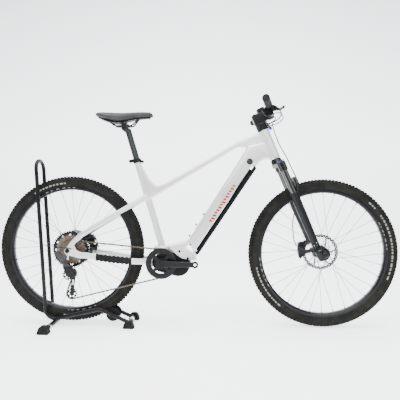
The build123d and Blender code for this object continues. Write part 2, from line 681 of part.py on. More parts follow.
# ---------------------------------------------------------------- cranks
BB = back(BB_BACK, BB_Z)
ARM_INNER_Y = 60
with BuildPart() as crank_spindle:
    disc(BB, SPINDLE_R, -ARM_INNER_Y - 18, ARM_INNER_Y + 18)


def crank_arm(side):
    """One arm, side -1 forward on the drive side, side 1 backward on the left."""
    stations = ((0, 69.5, 18, 38), (45, 73, 18, 31), (105, 79, 15, 26), (CRANK_LENGTH, 84, 14, 29))
    faces = []
    for reach, y, width, height in stations:
        plane = Plane(origin=(BB[0] - side * reach, side * y, BB[1]), x_dir=(0, 1, 0), z_dir=(-side, 0, 0))
        with BuildSketch(plane) as section:
            RectangleRounded(width, height, 5)
        faces.append(section.sketch.face())
    loft(faces)
    disc(BB, 21, *sorted((side * ARM_INNER_Y, side * 79)))
    eye = (BB[0] - side * CRANK_LENGTH, BB[1])
    disc(eye, 16, *sorted((side * 77, side * 91)))
    disc(eye, PEDAL_HOLE_R, -100, 100, mode=Mode.SUBTRACT)
    disc(BB, SPINDLE_R, -100, 100, mode=Mode.SUBTRACT)


with BuildPart() as right_crank_arm:
    crank_arm(-1)
with BuildPart() as left_crank_arm:
    crank_arm(1)
with BuildPart() as crank_bolts:
    for side in (-1, 1):
        disc(BB, 10.5, *sorted((side * (ARM_INNER_Y + 18), side * (ARM_INNER_Y + 21))))
        disc(BB, 4.5, *sorted((side * (ARM_INNER_Y + 18.9), side * (ARM_INNER_Y + 22))), mode=Mode.SUBTRACT)

with BuildPart() as chainring:
    toothed(BB, RING_TEETH, RING_Y, COG_THICKNESS, 50)
    with BuildSketch(SIDE.offset(-RING_Y + COG_THICKNESS / 2)) as lugs:
        with Locations(BB):
            with PolarLocations(49, 4, start_angle=45):
                Circle(8)
    extrude(lugs.sketch, amount=-COG_THICKNESS)
with BuildPart() as chainring_spider:
    with BuildSketch(SIDE.offset(ARM_INNER_Y)) as arms:
        with Locations(BB):
            Circle(27)
            with PolarLocations(36, 4, start_angle=45):
                SlotOverall(40, 17)
            Circle(SPINDLE_R, mode=Mode.SUBTRACT)
    extrude(arms.sketch, amount=-(ARM_INNER_Y + RING_Y - COG_THICKNESS / 2))
with BuildPart() as chainring_guard:
    disc(BB, 77, -57.2, -55, bore=63)
    with BuildSketch(SIDE.offset(57.2)) as lugs:
        with Locations(BB):
            with PolarLocations(62, 8):
                Circle(4)
    extrude(lugs.sketch, amount=-2.2)

# ---------------------------------------------------------------- chain
COG_R = pitch_radius(COG_TEETH[USED_COG])
RING_R = pitch_radius(RING_TEETH)
PULLEY_R = pitch_radius(PULLEY_TEETH)
CHAIN_Y = cog_y(USED_COG)
GUIDE = back(-11.6, 258)
TENSION = back(8, 163)
# centre, radius, turning sense (1 clockwise seen from the drive side), y
chain_wheels = ((REAR, COG_R, 1, CHAIN_Y), (BB, RING_R, 1, RING_Y), (TENSION, PULLEY_R, 1, CHAIN_Y),
                (GUIDE, PULLEY_R, -1, CHAIN_Y))


def chain_run(first, second):
    """Where the straight chain between two wheels leaves one and meets the next."""
    (c1, r1, s1, _), (c2, r2, s2, _) = first, second
    dx, dz = c2[0] - c1[0], c2[1] - c1[1]
    span = hypot(dx, dz)
    ux, uz = dx / span, dz / span
    lean = (s1 * r1 - s2 * r2) / span
    rise = sqrt(1 - lean * lean)
    nx, nz = ux * lean - uz * rise, uz * lean + ux * rise
    return ((c1[0] + s1 * r1 * nx, c1[1] + s1 * r1 * nz), (c2[0] + s2 * r2 * nx, c2[1] + s2 * r2 * nz))


def chain_arc(wheel, start, end, y0, y1):
    """The curved part of one row of plates round a wheel."""
    centre, radius, sense, _ = wheel
    a0 = atan2(start[1] - centre[1], start[0] - centre[0])
    a1 = atan2(end[1] - centre[1], end[0] - centre[0])
    while sense * (a0 - a1) <= 0:
        a1 -= sense * 2 * pi
    angles = (a0, (a0 + a1) / 2, a1)
    low, high = radius - CHAIN_HALF_HEIGHT, radius + CHAIN_HALF_HEIGHT
    inner = [(centre[0] + low * cos(a), centre[1] + low * sin(a)) for a in angles]
    outer = [(centre[0] + high * cos(a), centre[1] + high * sin(a)) for a in angles]
    with BuildSketch(SIDE.offset(-y0)) as sector:
        with BuildLine():
            ThreePointArc(*inner)
            Line(inner[2], outer[2])
            ThreePointArc(*reversed(outer))
            Line(outer[0], inner[0])
        make_face()
    extrude(sector.sketch, amount=-(y1 - y0))


def plate_row(offset):
    """One side of the chain, all the way round."""
    runs = []
    count = len(chain_wheels)
    for index, wheel in enumerate(chain_wheels):
        runs.append(chain_run(wheel, chain_wheels[(index + 1) % count]))
    for index, wheel in enumerate(chain_wheels):
        y = wheel[3] + offset
        chain_arc(wheel, runs[index - 1][1], runs[index][0], y - PLATE_THICKNESS / 2, y + PLATE_THICKNESS / 2)
        next_y = chain_wheels[(index + 1) % count][3] + offset
        start = Vector(runs[index][0][0], y, runs[index][0][1])
        end = Vector(runs[index][1][0], next_y, runs[index][1][1])
        with BuildSketch(Plane(origin=start, x_dir=(0, 1, 0), z_dir=end - start)) as section:
            Rectangle(PLATE_THICKNESS, 2 * CHAIN_HALF_HEIGHT)
        extrude(section.sketch, amount=(end - start).length)


with BuildPart() as chain:
    for offset in (-1, 1):
        plate_row(offset * (PLATE_OFFSET + PLATE_THICKNESS / 2))

# ---------------------------------------------------------------- rear derailleur
PULLEY_BOLT_R = 3


def pulley_wheel(centre):
    """A chain guide wheel with a plain bore and six round windows."""
    toothed(centre, PULLEY_TEETH, CHAIN_Y, COG_THICKNESS, PULLEY_BOLT_R + RUNNING_FIT)
    with BuildSketch(SIDE.offset(-CHAIN_Y + 2)) as windows:
        with Locations(centre):
            with PolarLocations(15, 6):
                Circle(4.8)
    extrude(windows.sketch, amount=-4, mode=Mode.SUBTRACT)


with BuildPart() as guide_pulley:
    pulley_wheel(GUIDE)
with BuildPart() as tension_pulley:
    pulley_wheel(TENSION)

CAGE_TOP = back(18, 258)
CAGE_WAIST = back(14, 212)
CLUTCH = back(17, 270)


def cage_plate(y0, y1):
    """One slim side of the cage: an arm to each pulley, the long one with a slot."""
    for start, start_r, end, end_r in ((GUIDE, 9, CAGE_TOP, 14), (CAGE_TOP, 10, CAGE_WAIST, 7.5),
                                       (CAGE_WAIST, 7.5, TENSION, 10)):
        with BuildSketch(SIDE.offset(-y0)) as outline:
            with Locations(start):
                Circle(start_r)
            with Locations(end):
                Circle(end_r)
            make_hull()
        extrude(outline.sketch, amount=-(y1 - y0))
    slab([back(12, 236), back(18, 236), back(16.5, 206), back(10.5, 206)], y0, y1, mode=Mode.SUBTRACT)


with BuildPart() as derailleur_cage:
    cage_plate(CHAIN_Y - 6.2, CHAIN_Y - 4.2)
    cage_plate(CHAIN_Y + 3.4, CHAIN_Y + 4.8)
    for pulley in (GUIDE, TENSION):
        disc(pulley, PULLEY_BOLT_R, CHAIN_Y - 8, CHAIN_Y + 4.8)
        disc(pulley, 5.5, CHAIN_Y - 8, CHAIN_Y - 6.2)

with BuildPart() as derailleur_clutch:
    disc(CLUTCH, 24, CHAIN_Y - 30, CHAIN_Y - 6.2)
    disc(CLUTCH, 17, CHAIN_Y - 34, CHAIN_Y - 30)
    slab([back(-24, 304), back(-16, 326), back(0, 326), back(30, 296), back(20, 270), back(-6, 262)],
         CHAIN_Y - 42, CHAIN_Y - 30)
    add(derailleur_cage.part, mode=Mode.SUBTRACT)

with BuildPart() as derailleur_link:
    slab([back(-50, 370), back(-36, 380), back(-2, 326), back(-16, 310)], CHAIN_Y - 56, CHAIN_Y - 42)
with BuildPart() as derailleur_knuckle:
    disc(back(-10, 353), 10, -REAR_HALF_OLD - 24, -REAR_HALF_OLD - 8)
    slab([back(-8, 363), back(-10, 343), back(-30, 345), back(-54, 362), back(-56, 380), back(-40, 386),
          back(-24, 368)], -REAR_HALF_OLD - 26, -REAR_HALF_OLD - 12)
    add(derailleur_link.part, mode=Mode.SUBTRACT)

# ---------------------------------------------------------------- rear brake
with BuildPart() as rear_caliper:
    for side in (-1, 1):
        half = sorted((REAR_ROTOR_Y + side * 2.2, REAR_ROTOR_Y + side * 14))
        slab([back(36, 440), back(62, 462), back(104, 436), back(98, 404), back(70, 400), back(56, 424)], *half)
    disc(back(88, 448), 6, REAR_ROTOR_Y - 14, REAR_ROTOR_Y + 14)
    disc(back(0, REAR_AXLE_Z), ROTOR_R + 2, REAR_ROTOR_Y - 2.2, REAR_ROTOR_Y + 2.2, mode=Mode.SUBTRACT)
    slab([back(96, 400), back(112, 404), back(108, 368), back(70, 372), back(70, 400)],
         REAR_ROTOR_Y + 6, REAR_ROTOR_Y + 14)
    add(chainstays.part, mode=Mode.SUBTRACT)
    add(seatstays.part, mode=Mode.SUBTRACT)
    add(dropouts.part, mode=Mode.SUBTRACT)
print("drivetrain done")

# ================================================================ saddle and post
POST_TOP = SEAT_TOP + SEAT_UP * 161
RAIL_BACK = (272, 1006)
with BuildPart() as seatpost:
    rod(SEAT_TOP - SEAT_UP * 167, POST_TOP, POST_R, bore=12.5)
    rod(POST_TOP - SEAT_UP * 6, POST_TOP, 12.5)
    slab([back(298, 984), back(304, 992), back(288, 1000), back(262, 1000), back(256, 992), back(272, 978)],
         -17, 17)
    disc(back(*RAIL_BACK), 13.5, -40, 40, mode=Mode.SUBTRACT)

with BuildPart() as saddle_clamp:
    disc(back(*RAIL_BACK), 13, -29, 29)
    block(back3(RAIL_BACK[0], 0, RAIL_BACK[1] + 11), (34, 58, 6))
    disc(back(*RAIL_BACK), 4, -33, 33)


def saddle_rail(side):
    points = [back3(186, side * 34, 1040), back3(228, side * 24, 1006), back3(312, side * 22, 1006),
              back3(352, side * 10, 1050)]
    tube(points, [24, 24], 3.8)


with BuildPart() as saddle_rails:
    for side in (-1, 1):
        saddle_rail(side)
    add(saddle_clamp.part, mode=Mode.SUBTRACT)


def saddle_section(x, half_width, top, side_z):
    """One cross-section of the padded top, sketched across the bike."""
    plane = Plane(origin=back3(x, 0, 0), x_dir=(0, 1, 0), z_dir=(1, 0, 0))
    with BuildSketch(plane) as section:
        with BuildLine():
            Spline((-half_width, side_z), (-half_width * 0.72, top - (top - side_z) * 0.32), (0, top),
                   (half_width * 0.72, top - (top - side_z) * 0.32), (half_width, side_z))
            Line((half_width, side_z), (-half_width, side_z))
        make_face()
    return section.sketch.face()


with BuildPart() as saddle_cover:
    sections = ((130, 34, 1068, 1056), (144, 60, 1074, 1051), (172, 70, 1075, 1040), (206, 69, 1074, 1029),
                (242, 55, 1073, 1025), (285, 36, 1074, 1033), (340, 25, 1077, 1046), (385, 21, 1077, 1049),
                (405, 17, 1073, 1050), (417, 10, 1062, 1051))
    loft([saddle_section(*section) for section in sections])
    add(saddle_rails.part, mode=Mode.SUBTRACT)

with BuildPart() as saddle_shell:
    shell_sections = ((150, 42, 1056, 1043), (200, 58, 1038, 1024), (242, 46, 1036, 1020),
                      (285, 28, 1042, 1028), (340, 19, 1054, 1040), (404, 13, 1056, 1044))
    loft([saddle_section(*section) for section in shell_sections], ruled=True)
    add(saddle_cover.part, mode=Mode.SUBTRACT)
    add(saddle_rails.part, mode=Mode.SUBTRACT)

# ================================================================ fork
def steer_slab(points, y0, y1, mode=Mode.ADD):
    slab(points, y0, y1, STEER_SIDE, mode)


def steer_disc(centre, radius, y0, y1, bore=0, mode=Mode.ADD):
    disc(centre, radius, y0, y1, bore, STEER_SIDE, mode)


with BuildPart() as fork_steerer:
    rod(steer(0, 0, 12), steer(0, 0, 238), STEERER_R, bore=STEERER_R - 2.5)
    rod(steer(0, 0, CROWN_TOP), steer(0, 0, 12), 18.9)

with BuildPart() as fork_crown:
    crown_plane = Plane(origin=steer(0, 0, CROWN_TOP), x_dir=FORWARD, z_dir=UPWARD)
    with BuildSketch(crown_plane) as outline:
        Circle(29)
        with Locations((LEG_X, -LEG_Y), (LEG_X, LEG_Y)):
            Circle(CROWN_LEG_R)
        make_hull()
    extrude(outline.sketch, amount=-20)
    cone(steer(0, 0, CROWN_TOP), steer(0, 0, -1.5), 29, 26)
    for side in (-1, 1):
        rod(steer(LEG_X, side * LEG_Y, CROWN_TOP - 8), steer(LEG_X, side * LEG_Y, CROWN_BOTTOM), CROWN_LEG_R)
    rod(steer(0, 0, CROWN_TOP), steer(0, 0, 10), 18.9, mode=Mode.SUBTRACT)
    for side in (-1, 1):
        rod(steer(LEG_X, side * LEG_Y, 10), steer(LEG_X, side * LEG_Y, CROWN_BOTTOM - 10), STANCHION_R,
            mode=Mode.SUBTRACT)

STANCHION_TOP = CROWN_TOP - 2
STANCHION_FOOT = -400
with BuildPart() as stanchions:
    for side in (-1, 1):
        rod(steer(LEG_X, side * LEG_Y, STANCHION_TOP), steer(LEG_X, side * LEG_Y, STANCHION_FOOT), STANCHION_R,
            bore=STANCHION_R - 2)

KNOB_LOW = CROWN_TOP + 1
with BuildPart() as fork_top_caps:
    rod(steer(LEG_X, LEG_Y, STANCHION_TOP), steer(LEG_X, LEG_Y, CROWN_TOP + 6), 15)
    rod(steer(LEG_X, -LEG_Y, STANCHION_TOP), steer(LEG_X, -LEG_Y, KNOB_LOW), 16)

with BuildPart() as fork_lockout_knob:
    rod(steer(LEG_X, -LEG_Y, KNOB_LOW + GAP), steer(LEG_X, -LEG_Y, KNOB_LOW + 6.5), 13)
    steer_slab([(LEG_X - 4, KNOB_LOW + 2), (LEG_X + 20, KNOB_LOW + 2), (LEG_X + 20, KNOB_LOW + 6.5),
                (LEG_X - 4, KNOB_LOW + 6.5)], -LEG_Y - 4.5, -LEG_Y + 4.5)

LEG_BORE = STANCHION_R + RUNNING_FIT
LEG_BORE_END = -495
with BuildPart() as fork_lowers:
    for side in (-1, 1):
        y = side * LEG_Y
        cone(steer(LEG_X, y, -300), steer(LEG_X, y, -505), 20.6, 17.5)
        rod(steer(LEG_X, y, -300), steer(LEG_X, y, LEG_TOP - 8), 20.6)
        cone(steer(LEG_X, y, -505), steer(LEG_X, y, -545), 17.5, 13)
        foot_y = sorted((side * (FRONT_HALF_OLD + 0.2), side * 74))
        steer_slab([(LEG_X - 4, -490), (LEG_X + 12, -478), (AXLE_X + 9, AXLE_Z + 13),
                    (AXLE_X + 12, AXLE_Z - 8), (AXLE_X, AXLE_Z - 15), (LEG_X, -540)], *foot_y)
        steer_disc((AXLE_X, AXLE_Z), 16, *sorted((side * FRONT_HALF_OLD, side * 76)))
    arch = [steer(14, -LEG_Y, -212), steer(42, -60, -158), steer(46, -36, -128), steer(46, 36, -128),
            steer(42, 60, -158), steer(14, LEG_Y, -212)]
    tube(arch, [26, 24, 24, 26], 11)
    for side in (-1, 1):
        rod(steer(LEG_X, side * LEG_Y, -100), steer(LEG_X, side * LEG_Y, LEG_BORE_END), LEG_BORE,
            mode=Mode.SUBTRACT)
    steer_disc((AXLE_X, AXLE_Z), FRONT_AXLE_R, -100, 100, mode=Mode.SUBTRACT)
    steer_disc((AXLE_X, AXLE_Z), ROTOR_R + 3, 30, FRONT_ROTOR_Y + 3, mode=Mode.SUBTRACT)

with BuildPart() as fork_seals:
    for side in (-1, 1):
        rod(steer(LEG_X, side * LEG_Y, LEG_TOP - 8), steer(LEG_X, side * LEG_Y, LEG_TOP), 19.6, bore=LEG_BORE)

with BuildPart() as front_axle:
    steer_disc((AXLE_X, AXLE_Z), FRONT_AXLE_R, -76, 76)
    steer_disc((AXLE_X, AXLE_Z), 11, -81, -76)
    steer_disc((AXLE_X, AXLE_Z), 10, 76, 79)


def from_front_axle(points):
    """Side-view points measured ahead of and above the front axle."""
    return [(FRONT_X + x, FRONT_AXLE_Z + z) for x, z in points]


with BuildPart() as front_caliper:
    body_y = (FRONT_ROTOR_Y - 14, FRONT_ROTOR_Y + 14)
    mount_y = (FRONT_ROTOR_Y + 5, 62)
    slab(from_front_axle([(-113, 46), (-98, 53), (-83, 48), (-76, 28), (-75, -6), (-84, -16), (-102, -36),
                          (-109, -28), (-116, 12)]), *body_y)
    slab(from_front_axle([(-90, 50), (-60, 64), (-52, 40), (-76, 26)]), *mount_y)
    slab(from_front_axle([(-80, 8), (-46, 12), (-44, -6), (-80, -12)]), *mount_y)
    disc((FRONT_X, FRONT_AXLE_Z), ROTOR_R + 2, FRONT_ROTOR_Y - 2.2, FRONT_ROTOR_Y + 2.2, mode=Mode.SUBTRACT)
    add(fork_lowers.part, mode=Mode.SUBTRACT)
    for side in (-1, 1):
        rod(steer(LEG_X, side * LEG_Y, -200), steer(LEG_X, side * LEG_Y, LEG_BORE_END), LEG_BORE,
            mode=Mode.SUBTRACT)

# ================================================================ cockpit
with BuildPart() as headset_spacers:
    for low, high, radius in ((HEAD_LENGTH + GAP, 163, 28), (163, 176, 28), (176, 189, 28)):
        rod(steer(0, 0, low), steer(0, 0, high - 0.4), radius, bore=STEERER_R)

# a guide for the hoses hangs from the lowest spacer in front of the head tube
with BuildPart() as hose_guide:
    steer_slab([(20, 156), (20, 162), (34, 163), (44, 153), (41, 138), (29.5, 145), (29.5, 156)], -8, 8)
    add(headset_spacers.part, mode=Mode.SUBTRACT)

with BuildPart() as stem:
    steer_slab([(-26, 189), (26, 189), (36, 193), (50, 192), (50, 226), (34, 234), (-18, 244), (-29, 238),
                (-29, 193)], -22, 22)
    steer_disc((CLAMP_X, CLAMP_Z), 21, -22, 22)
    steer_slab([(CLAMP_X, 180), (100, 180), (100, 240), (CLAMP_X, 240)], -30, 30, mode=Mode.SUBTRACT)
    steer_disc((CLAMP_X, CLAMP_Z), 15.9, -40, 40, mode=Mode.SUBTRACT)
    rod(steer(0, 0, 150), steer(0, 0, 238.2), STEERER_R, mode=Mode.SUBTRACT)

with BuildPart() as stem_faceplate:
    steer_disc((CLAMP_X, CLAMP_Z), 21, -22, 22)
    steer_slab([(0, 170), (CLAMP_X + 0.8, 170), (CLAMP_X + 0.8, 250), (0, 250)], -30, 30, mode=Mode.SUBTRACT)
    steer_disc((CLAMP_X, CLAMP_Z), 15.9, -40, 40, mode=Mode.SUBTRACT)

with BuildPart() as stem_bolts:
    for y in (-14, 14):
        for z in (-17, 17):
            rod(steer(CLAMP_X + 9.5, y, CLAMP_Z + z), steer(CLAMP_X + 16, y, CLAMP_Z + z), 3)
    add(stem_faceplate.part, mode=Mode.SUBTRACT)


def bar_points(side):
    return [steer(CLAMP_X, side * 46, CLAMP_Z), steer(52.3, side * 118, 227.5),
            steer(GRIP_OUTER[0], side * GRIP_OUTER[1], GRIP_OUTER[2])]


with BuildPart() as handlebar:
    tube(list(reversed(bar_points(-1))) + bar_points(1), [55, 60, 60, 55], BAR_R)
    steer_disc((CLAMP_X, CLAMP_Z), 15.9, -32, 32)
    for side in (-1, 1):
        cone(steer(CLAMP_X, side * 32, CLAMP_Z), steer(CLAMP_X, side * 46, CLAMP_Z), 15.9, 11.2)


def on_bar(side, y, out=0.0, forward=0.0):
    """A point on the straight outer part of the handlebar, with a shift ahead and up."""
    share = (y - 118) / (GRIP_OUTER[1] - 118)
    x = 52.3 + (GRIP_OUTER[0] - 52.3) * share + forward
    z = 227.5 + (GRIP_OUTER[2] - 227.5) * share + out
    return steer(x, side * y, z)


with BuildPart() as grips:
    for side in (-1, 1):
        rod(on_bar(side, 240), on_bar(side, 366), GRIP_R - 0.5, bore=BAR_R)
        rod(on_bar(side, 366), on_bar(side, 370), GRIP_R, bore=BAR_R)
        rod(on_bar(side, 370.3), on_bar(side, 372), GRIP_R - 1)
with BuildPart() as grip_collars:
    for side in (-1, 1):
        rod(on_bar(side, 228), on_bar(side, 239.6), GRIP_R + 0.8, bore=BAR_R)

# the brake levers lie in a plane that dips forward from the bar
LEVER_DIP = 30
AHEAD = Vector(cos(radians(LEVER_DIP)), 0, -sin(radians(LEVER_DIP)))
LEVER_UP = Vector(sin(radians(LEVER_DIP)), 0, cos(radians(LEVER_DIP)))
PIVOT_Y = 222
PIVOT_AHEAD = 36


def lever_shape(side, points, low, high, mode=Mode.ADD):
    plane = Plane(origin=on_bar(side, PIVOT_Y) + AHEAD * PIVOT_AHEAD + LEVER_UP * low, x_dir=(0, side, 0),
                  z_dir=LEVER_UP)
    local = [(along, -ahead * side) for along, ahead in points]
    with BuildSketch(plane) as outline:
        with BuildLine():
            Polyline(*local, close=True)
        make_face()
    extrude(outline.sketch, amount=high - low, mode=mode)


def lever_point(side, along, ahead, up=0.0):
    return on_bar(side, PIVOT_Y) + Vector(0, side * along, 0) + AHEAD * (PIVOT_AHEAD + ahead) + LEVER_UP * up


with BuildPart() as brake_lever_bodies:
    for side in (-1, 1):
        rod(on_bar(side, 200), on_bar(side, 213), 16, bore=BAR_R)
        rod(lever_point(side, -26, -10), lever_point(side, 3, -12), 10.5)
        lever_shape(side, [(-24, -24), (-8, -22), (10, -12), (11, 7), (-9, 8), (-24, 0)], -9, 9)
        lever_shape(side, [(-9, -8), (30, -8), (30, 30), (-9, 30)], -5.4, 5.4, mode=Mode.SUBTRACT)
        rod(on_bar(side, 190), on_bar(side, 220), BAR_R, mode=Mode.SUBTRACT)
        rod(lever_point(side, 0, 0, -12), lever_point(side, 0, 0, 12), 2.5, mode=Mode.SUBTRACT)
with BuildPart() as brake_lever_pins:
    for side in (-1, 1):
        rod(lever_point(side, 0, 0, -9.5), lever_point(side, 0, 0, 9.5), 2.5)

BLADE = [(-6, -5), (6, -6), (14, 6), (30, 15), (60, 18), (104, 20), (110, 26), (106, 30), (98, 27), (60, 26),
         (26, 24), (6, 14), (-6, 6)]


def brake_blade(side):
    lever_shape(side, BLADE, -5, 5)
    rod(lever_point(side, 0, 0, -12), lever_point(side, 0, 0, 12), 2.5 + RUNNING_FIT, mode=Mode.SUBTRACT)


with BuildPart() as right_brake_lever:
    brake_blade(-1)
with BuildPart() as left_brake_lever:
    brake_blade(1)

# shifter pod under the bar on the drive side, assist switch on the left
UNDER = LEVER_UP * -1


def under_bar(side, y, ahead, below):
    return on_bar(side, y) + AHEAD * ahead + UNDER * below


with BuildPart() as shifter_body:
    rod(on_bar(-1, 172), on_bar(-1, 182), 15, bore=BAR_R)
    block(under_bar(-1, 174, 8, 23.5), (46, 34, 25), AHEAD, rounding=6)
    rod(on_bar(-1, 150), on_bar(-1, 200), BAR_R, mode=Mode.SUBTRACT)

SHIFT_PIVOT = under_bar(-1, 178, 8, 36.3)


def shift_paddle(low, high, points):
    plane = Plane(origin=SHIFT_PIVOT + UNDER * low, x_dir=(0, -1, 0), z_dir=UNDER)
    with BuildSketch(plane) as outline:
        with BuildLine():
            Polyline(*points, close=True)
        make_face()
    extrude(outline.sketch, amount=high - low)
    rod(SHIFT_PIVOT + UNDER * low, SHIFT_PIVOT + UNDER * high, 9.5)


with BuildPart() as shift_lever_main:
    shift_paddle(0.3, 4, [(-9, -8), (9, -8), (12, 4), (26, 22), (20, 30), (-2, 14), (-9, 6)])
with BuildPart() as shift_lever_release:
    shift_paddle(4.6, 8, [(-8, -8), (8, -8), (12, -12), (22, -24), (14, -30), (0, -20), (-8, -10)])

with BuildPart() as assist_switch:
    rod(on_bar(1, 170), on_bar(1, 182), 15, bore=BAR_R)
    block(under_bar(1, 176, 4, 24.5), (36, 30, 25), AHEAD, rounding=4)
    rod(on_bar(1, 150), on_bar(1, 200), BAR_R, mode=Mode.SUBTRACT)
    for below in (18.9, 30.1):
        block(under_bar(1, 176, -12, below), (8, 22.6, 9.6), AHEAD, mode=Mode.SUBTRACT)


def assist_button(below):
    block(under_bar(1, 176, -13.4, below), (6, 22, 9), AHEAD)


with BuildPart() as assist_button_up:
    assist_button(18.9)
with BuildPart() as assist_button_down:
    assist_button(30.1)

with BuildPart() as display_mount:
    steer_disc((CLAMP_X, CLAMP_Z), 19, 25, 34, bore=15.9)
    steer_slab([(22, 238), (52, 224), (60, 226), (60, 234), (24, 243)], 16, 34)
    steer_disc((CLAMP_X, CLAMP_Z), 15.9, -40, 40, mode=Mode.SUBTRACT)
    add(stem.part, mode=Mode.SUBTRACT)
    add(stem_faceplate.part, mode=Mode.SUBTRACT)
with BuildPart() as display:
    screen_plane = Plane(origin=steer(28, 14, 253), x_dir=(0, 1, 0), z_dir=UPWARD)
    with BuildSketch(screen_plane) as face:
        RectangleRounded(56, 38, 8)
    extrude(face.sketch, amount=-10)
    extrude(face.sketch, amount=9)
    chamfer(display.faces().sort_by(lambda f: (f.center() - HEAD_BOTTOM).dot(UPWARD))[-1].edges(), 3)

# ================================================================ hoses and cables
HOSE_R = 2.6
right_hose = [lever_point(-1, -26, -10), lever_point(-1, -70, -4), steer(88, -120, 212), steer(104, -72, 186),
              steer(84, -30, 170), steer(44, -10, 172), steer(29, -8, 180)]
left_hose = [lever_point(1, -26, -10), lever_point(1, -70, -4), steer(86, 120, 216), steer(96, 76, 194),
             steer(78, 36, 180), steer(46, 14, 172), steer(29, 12, 170)]
shift_cable = [under_bar(-1, 160, 12, 26), under_bar(-1, 128, 16, 26), steer(98, -84, 196), steer(110, -44, 166),
               steer(84, -14, 156), steer(46, 2, 160), steer(29, 2, 168)]
with BuildPart() as control_hoses:
    hose(right_hose, HOSE_R)
    hose(left_hose, HOSE_R)
    hose(shift_cable, HOSE_R - 0.3)
    add(brake_lever_bodies.part, mode=Mode.SUBTRACT)
    add(shifter_body.part, mode=Mode.SUBTRACT)
    add(assist_switch.part, mode=Mode.SUBTRACT)

front_hose_top = [steer(58, 12, 178), steer(51, 12, 140), steer(48, 12, 96), steer(47, 11, 52),
                  steer(54, 10, 6), steer(57, 10, -34), steer(57.4, 10, -72), steer(60, 10, -112)]
front_hose_foot = [steer(60, 10, -112), steer(61.2, 10, -130.6), steer(60, 32, -148), steer(52, 62, -176),
                   steer(30, 90, -230), steer(-2, 94, -290), steer(-38, 86, -345), steer(-56, 66, -392),
                   steer(-69, 55, -424), steer(-66, 54, -452)]
with BuildPart() as front_hose_upper:
    hose(front_hose_top, HOSE_R)
with BuildPart() as front_hose_lower:
    hose(front_hose_foot, HOSE_R)

with BuildPart() as frame_hoses:
    hose([back3(118, 62, 383), back3(112, 62, 400), back3(108, 60, 424), back3(96, 58, 440), back3(92, 57, 448)],
         HOSE_R)
    hose([back3(22, -87.5, 396), back3(-14, -90, 402), back3(-44, -92, 406), back3(-60, -93, 395),
          back3(-54, -93, 382)], HOSE_R - 0.3)
    add(rear_caliper.part, mode=Mode.SUBTRACT)
    add(derailleur_knuckle.part, mode=Mode.SUBTRACT)

# ================================================================ export
# each node's separate pieces, by the body that carries them
nodes = {
    # the stand
    "stand_frame": [stand_hoop, stand_rear_crossbar, stand_front_crossbar, stand_roller_bolt],
    "stand_hardware": [stand_collars],
    "stand_feet": [stand_feet],
    "stand_roller": [stand_roller],
    # the bicycle frame and what is fixed to it
    "head_tube": [head_tube, headset_cups],
    "seat_tube": [seat_tube, seat_tube_foot],
    "down_tube": [down_tube],
    "top_tube": [top_tube],
    "motor_cradle": [motor_cradle],
    "rear_stays": [dropouts, chainstays, seatstays],
    "chainstay_guard": [chainstay_guard],
    "frame_fittings": [frame_screws, motor_bolts, charge_port, seat_clamp, rear_axle],
    "motor_unit": [motor_housing, motor_covers],
    "rear_caliper": [rear_caliper],
    "rear_derailleur": [derailleur_cage, derailleur_clutch, derailleur_link, derailleur_knuckle],
    "chain": [chain],
    "frame_hoses": [frame_hoses],
    # battery
    "battery": [battery_pack, battery_cover],
    "battery_lock": [battery_lock],
    # rear wheel, cassette, pulleys
    "rear_tyre": [rear_tyre],
    "rear_rim": [rear_rim],
    "rear_spokes": [rear_spokes],
    "rear_hub": [rear_hub],
    "rear_rotor": [rear_rotor, rear_rotor_bolts],
    "cassette_sprockets": [cassette_sprockets, cassette_lockring],
    "cassette_large_sprocket": [cassette_large_sprocket],
    "freehub": [freehub, cassette_spacers],
    "guide_pulley": [guide_pulley],
    "tension_pulley": [tension_pulley],
    # cranks
    "cranks": [crank_spindle, right_crank_arm, left_crank_arm, crank_bolts],
    "chainring": [chainring, chainring_spider, chainring_guard],
    # seat
    "seatpost": [seatpost],
    "saddle_rails": [saddle_rails, saddle_clamp],
    "saddle_shell": [saddle_shell],
    "saddle_cover": [saddle_cover],
    # what turns with the handlebar
    "fork_crown": [fork_crown, fork_steerer],
    "stanchions": [stanchions, fork_top_caps],
    "stem": [stem, stem_faceplate, stem_bolts, headset_spacers, hose_guide],
    "handlebar": [handlebar],
    "grips": [grips, grip_collars],
    "brake_lever_bodies": [brake_lever_bodies, brake_lever_pins],
    "switch_bodies": [shifter_body, assist_switch],
    "display": [display, display_mount],
    "control_hoses": [control_hoses],
    "front_hose_upper": [front_hose_upper],
    "fork_lockout_knob": [fork_lockout_knob],
    "right_brake_lever": [right_brake_lever],
    "left_brake_lever": [left_brake_lever],
    "shift_lever_main": [shift_lever_main],
    "shift_lever_release": [shift_lever_release],
    "assist_button_up": [assist_button_up],
    "assist_button_down": [assist_button_down],
    # sliding fork legs and the front wheel
    "fork_lowers": [fork_lowers, fork_seals, front_axle],
    "front_caliper": [front_caliper],
    "front_hose_lower": [front_hose_lower],
    "front_tyre": [front_tyre],
    "front_rim": [front_rim],
    "front_spokes": [front_spokes],
    "front_hub": [front_hub],
    "front_rotor": [front_rotor, front_rotor_bolts],
}
print(len(nodes), "nodes")
os.makedirs("parts", exist_ok=True)
for name, pieces in nodes.items():
    node = Compound([solid for piece in pieces for solid in piece.part.solids()])
    node.label = name
    export_step(node, f"parts/{name}.step")
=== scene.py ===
"""Looks for the hardtail electric bicycle on its floor stand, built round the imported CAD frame.

Metres, in the frame of the CAD part: X to the front of the bike, Y to its left, Z up.
The bike is seen from its drive side, which is -Y.
"""
import json
import math
import random

import bmesh
import bpy
from mathutils import Matrix, Vector


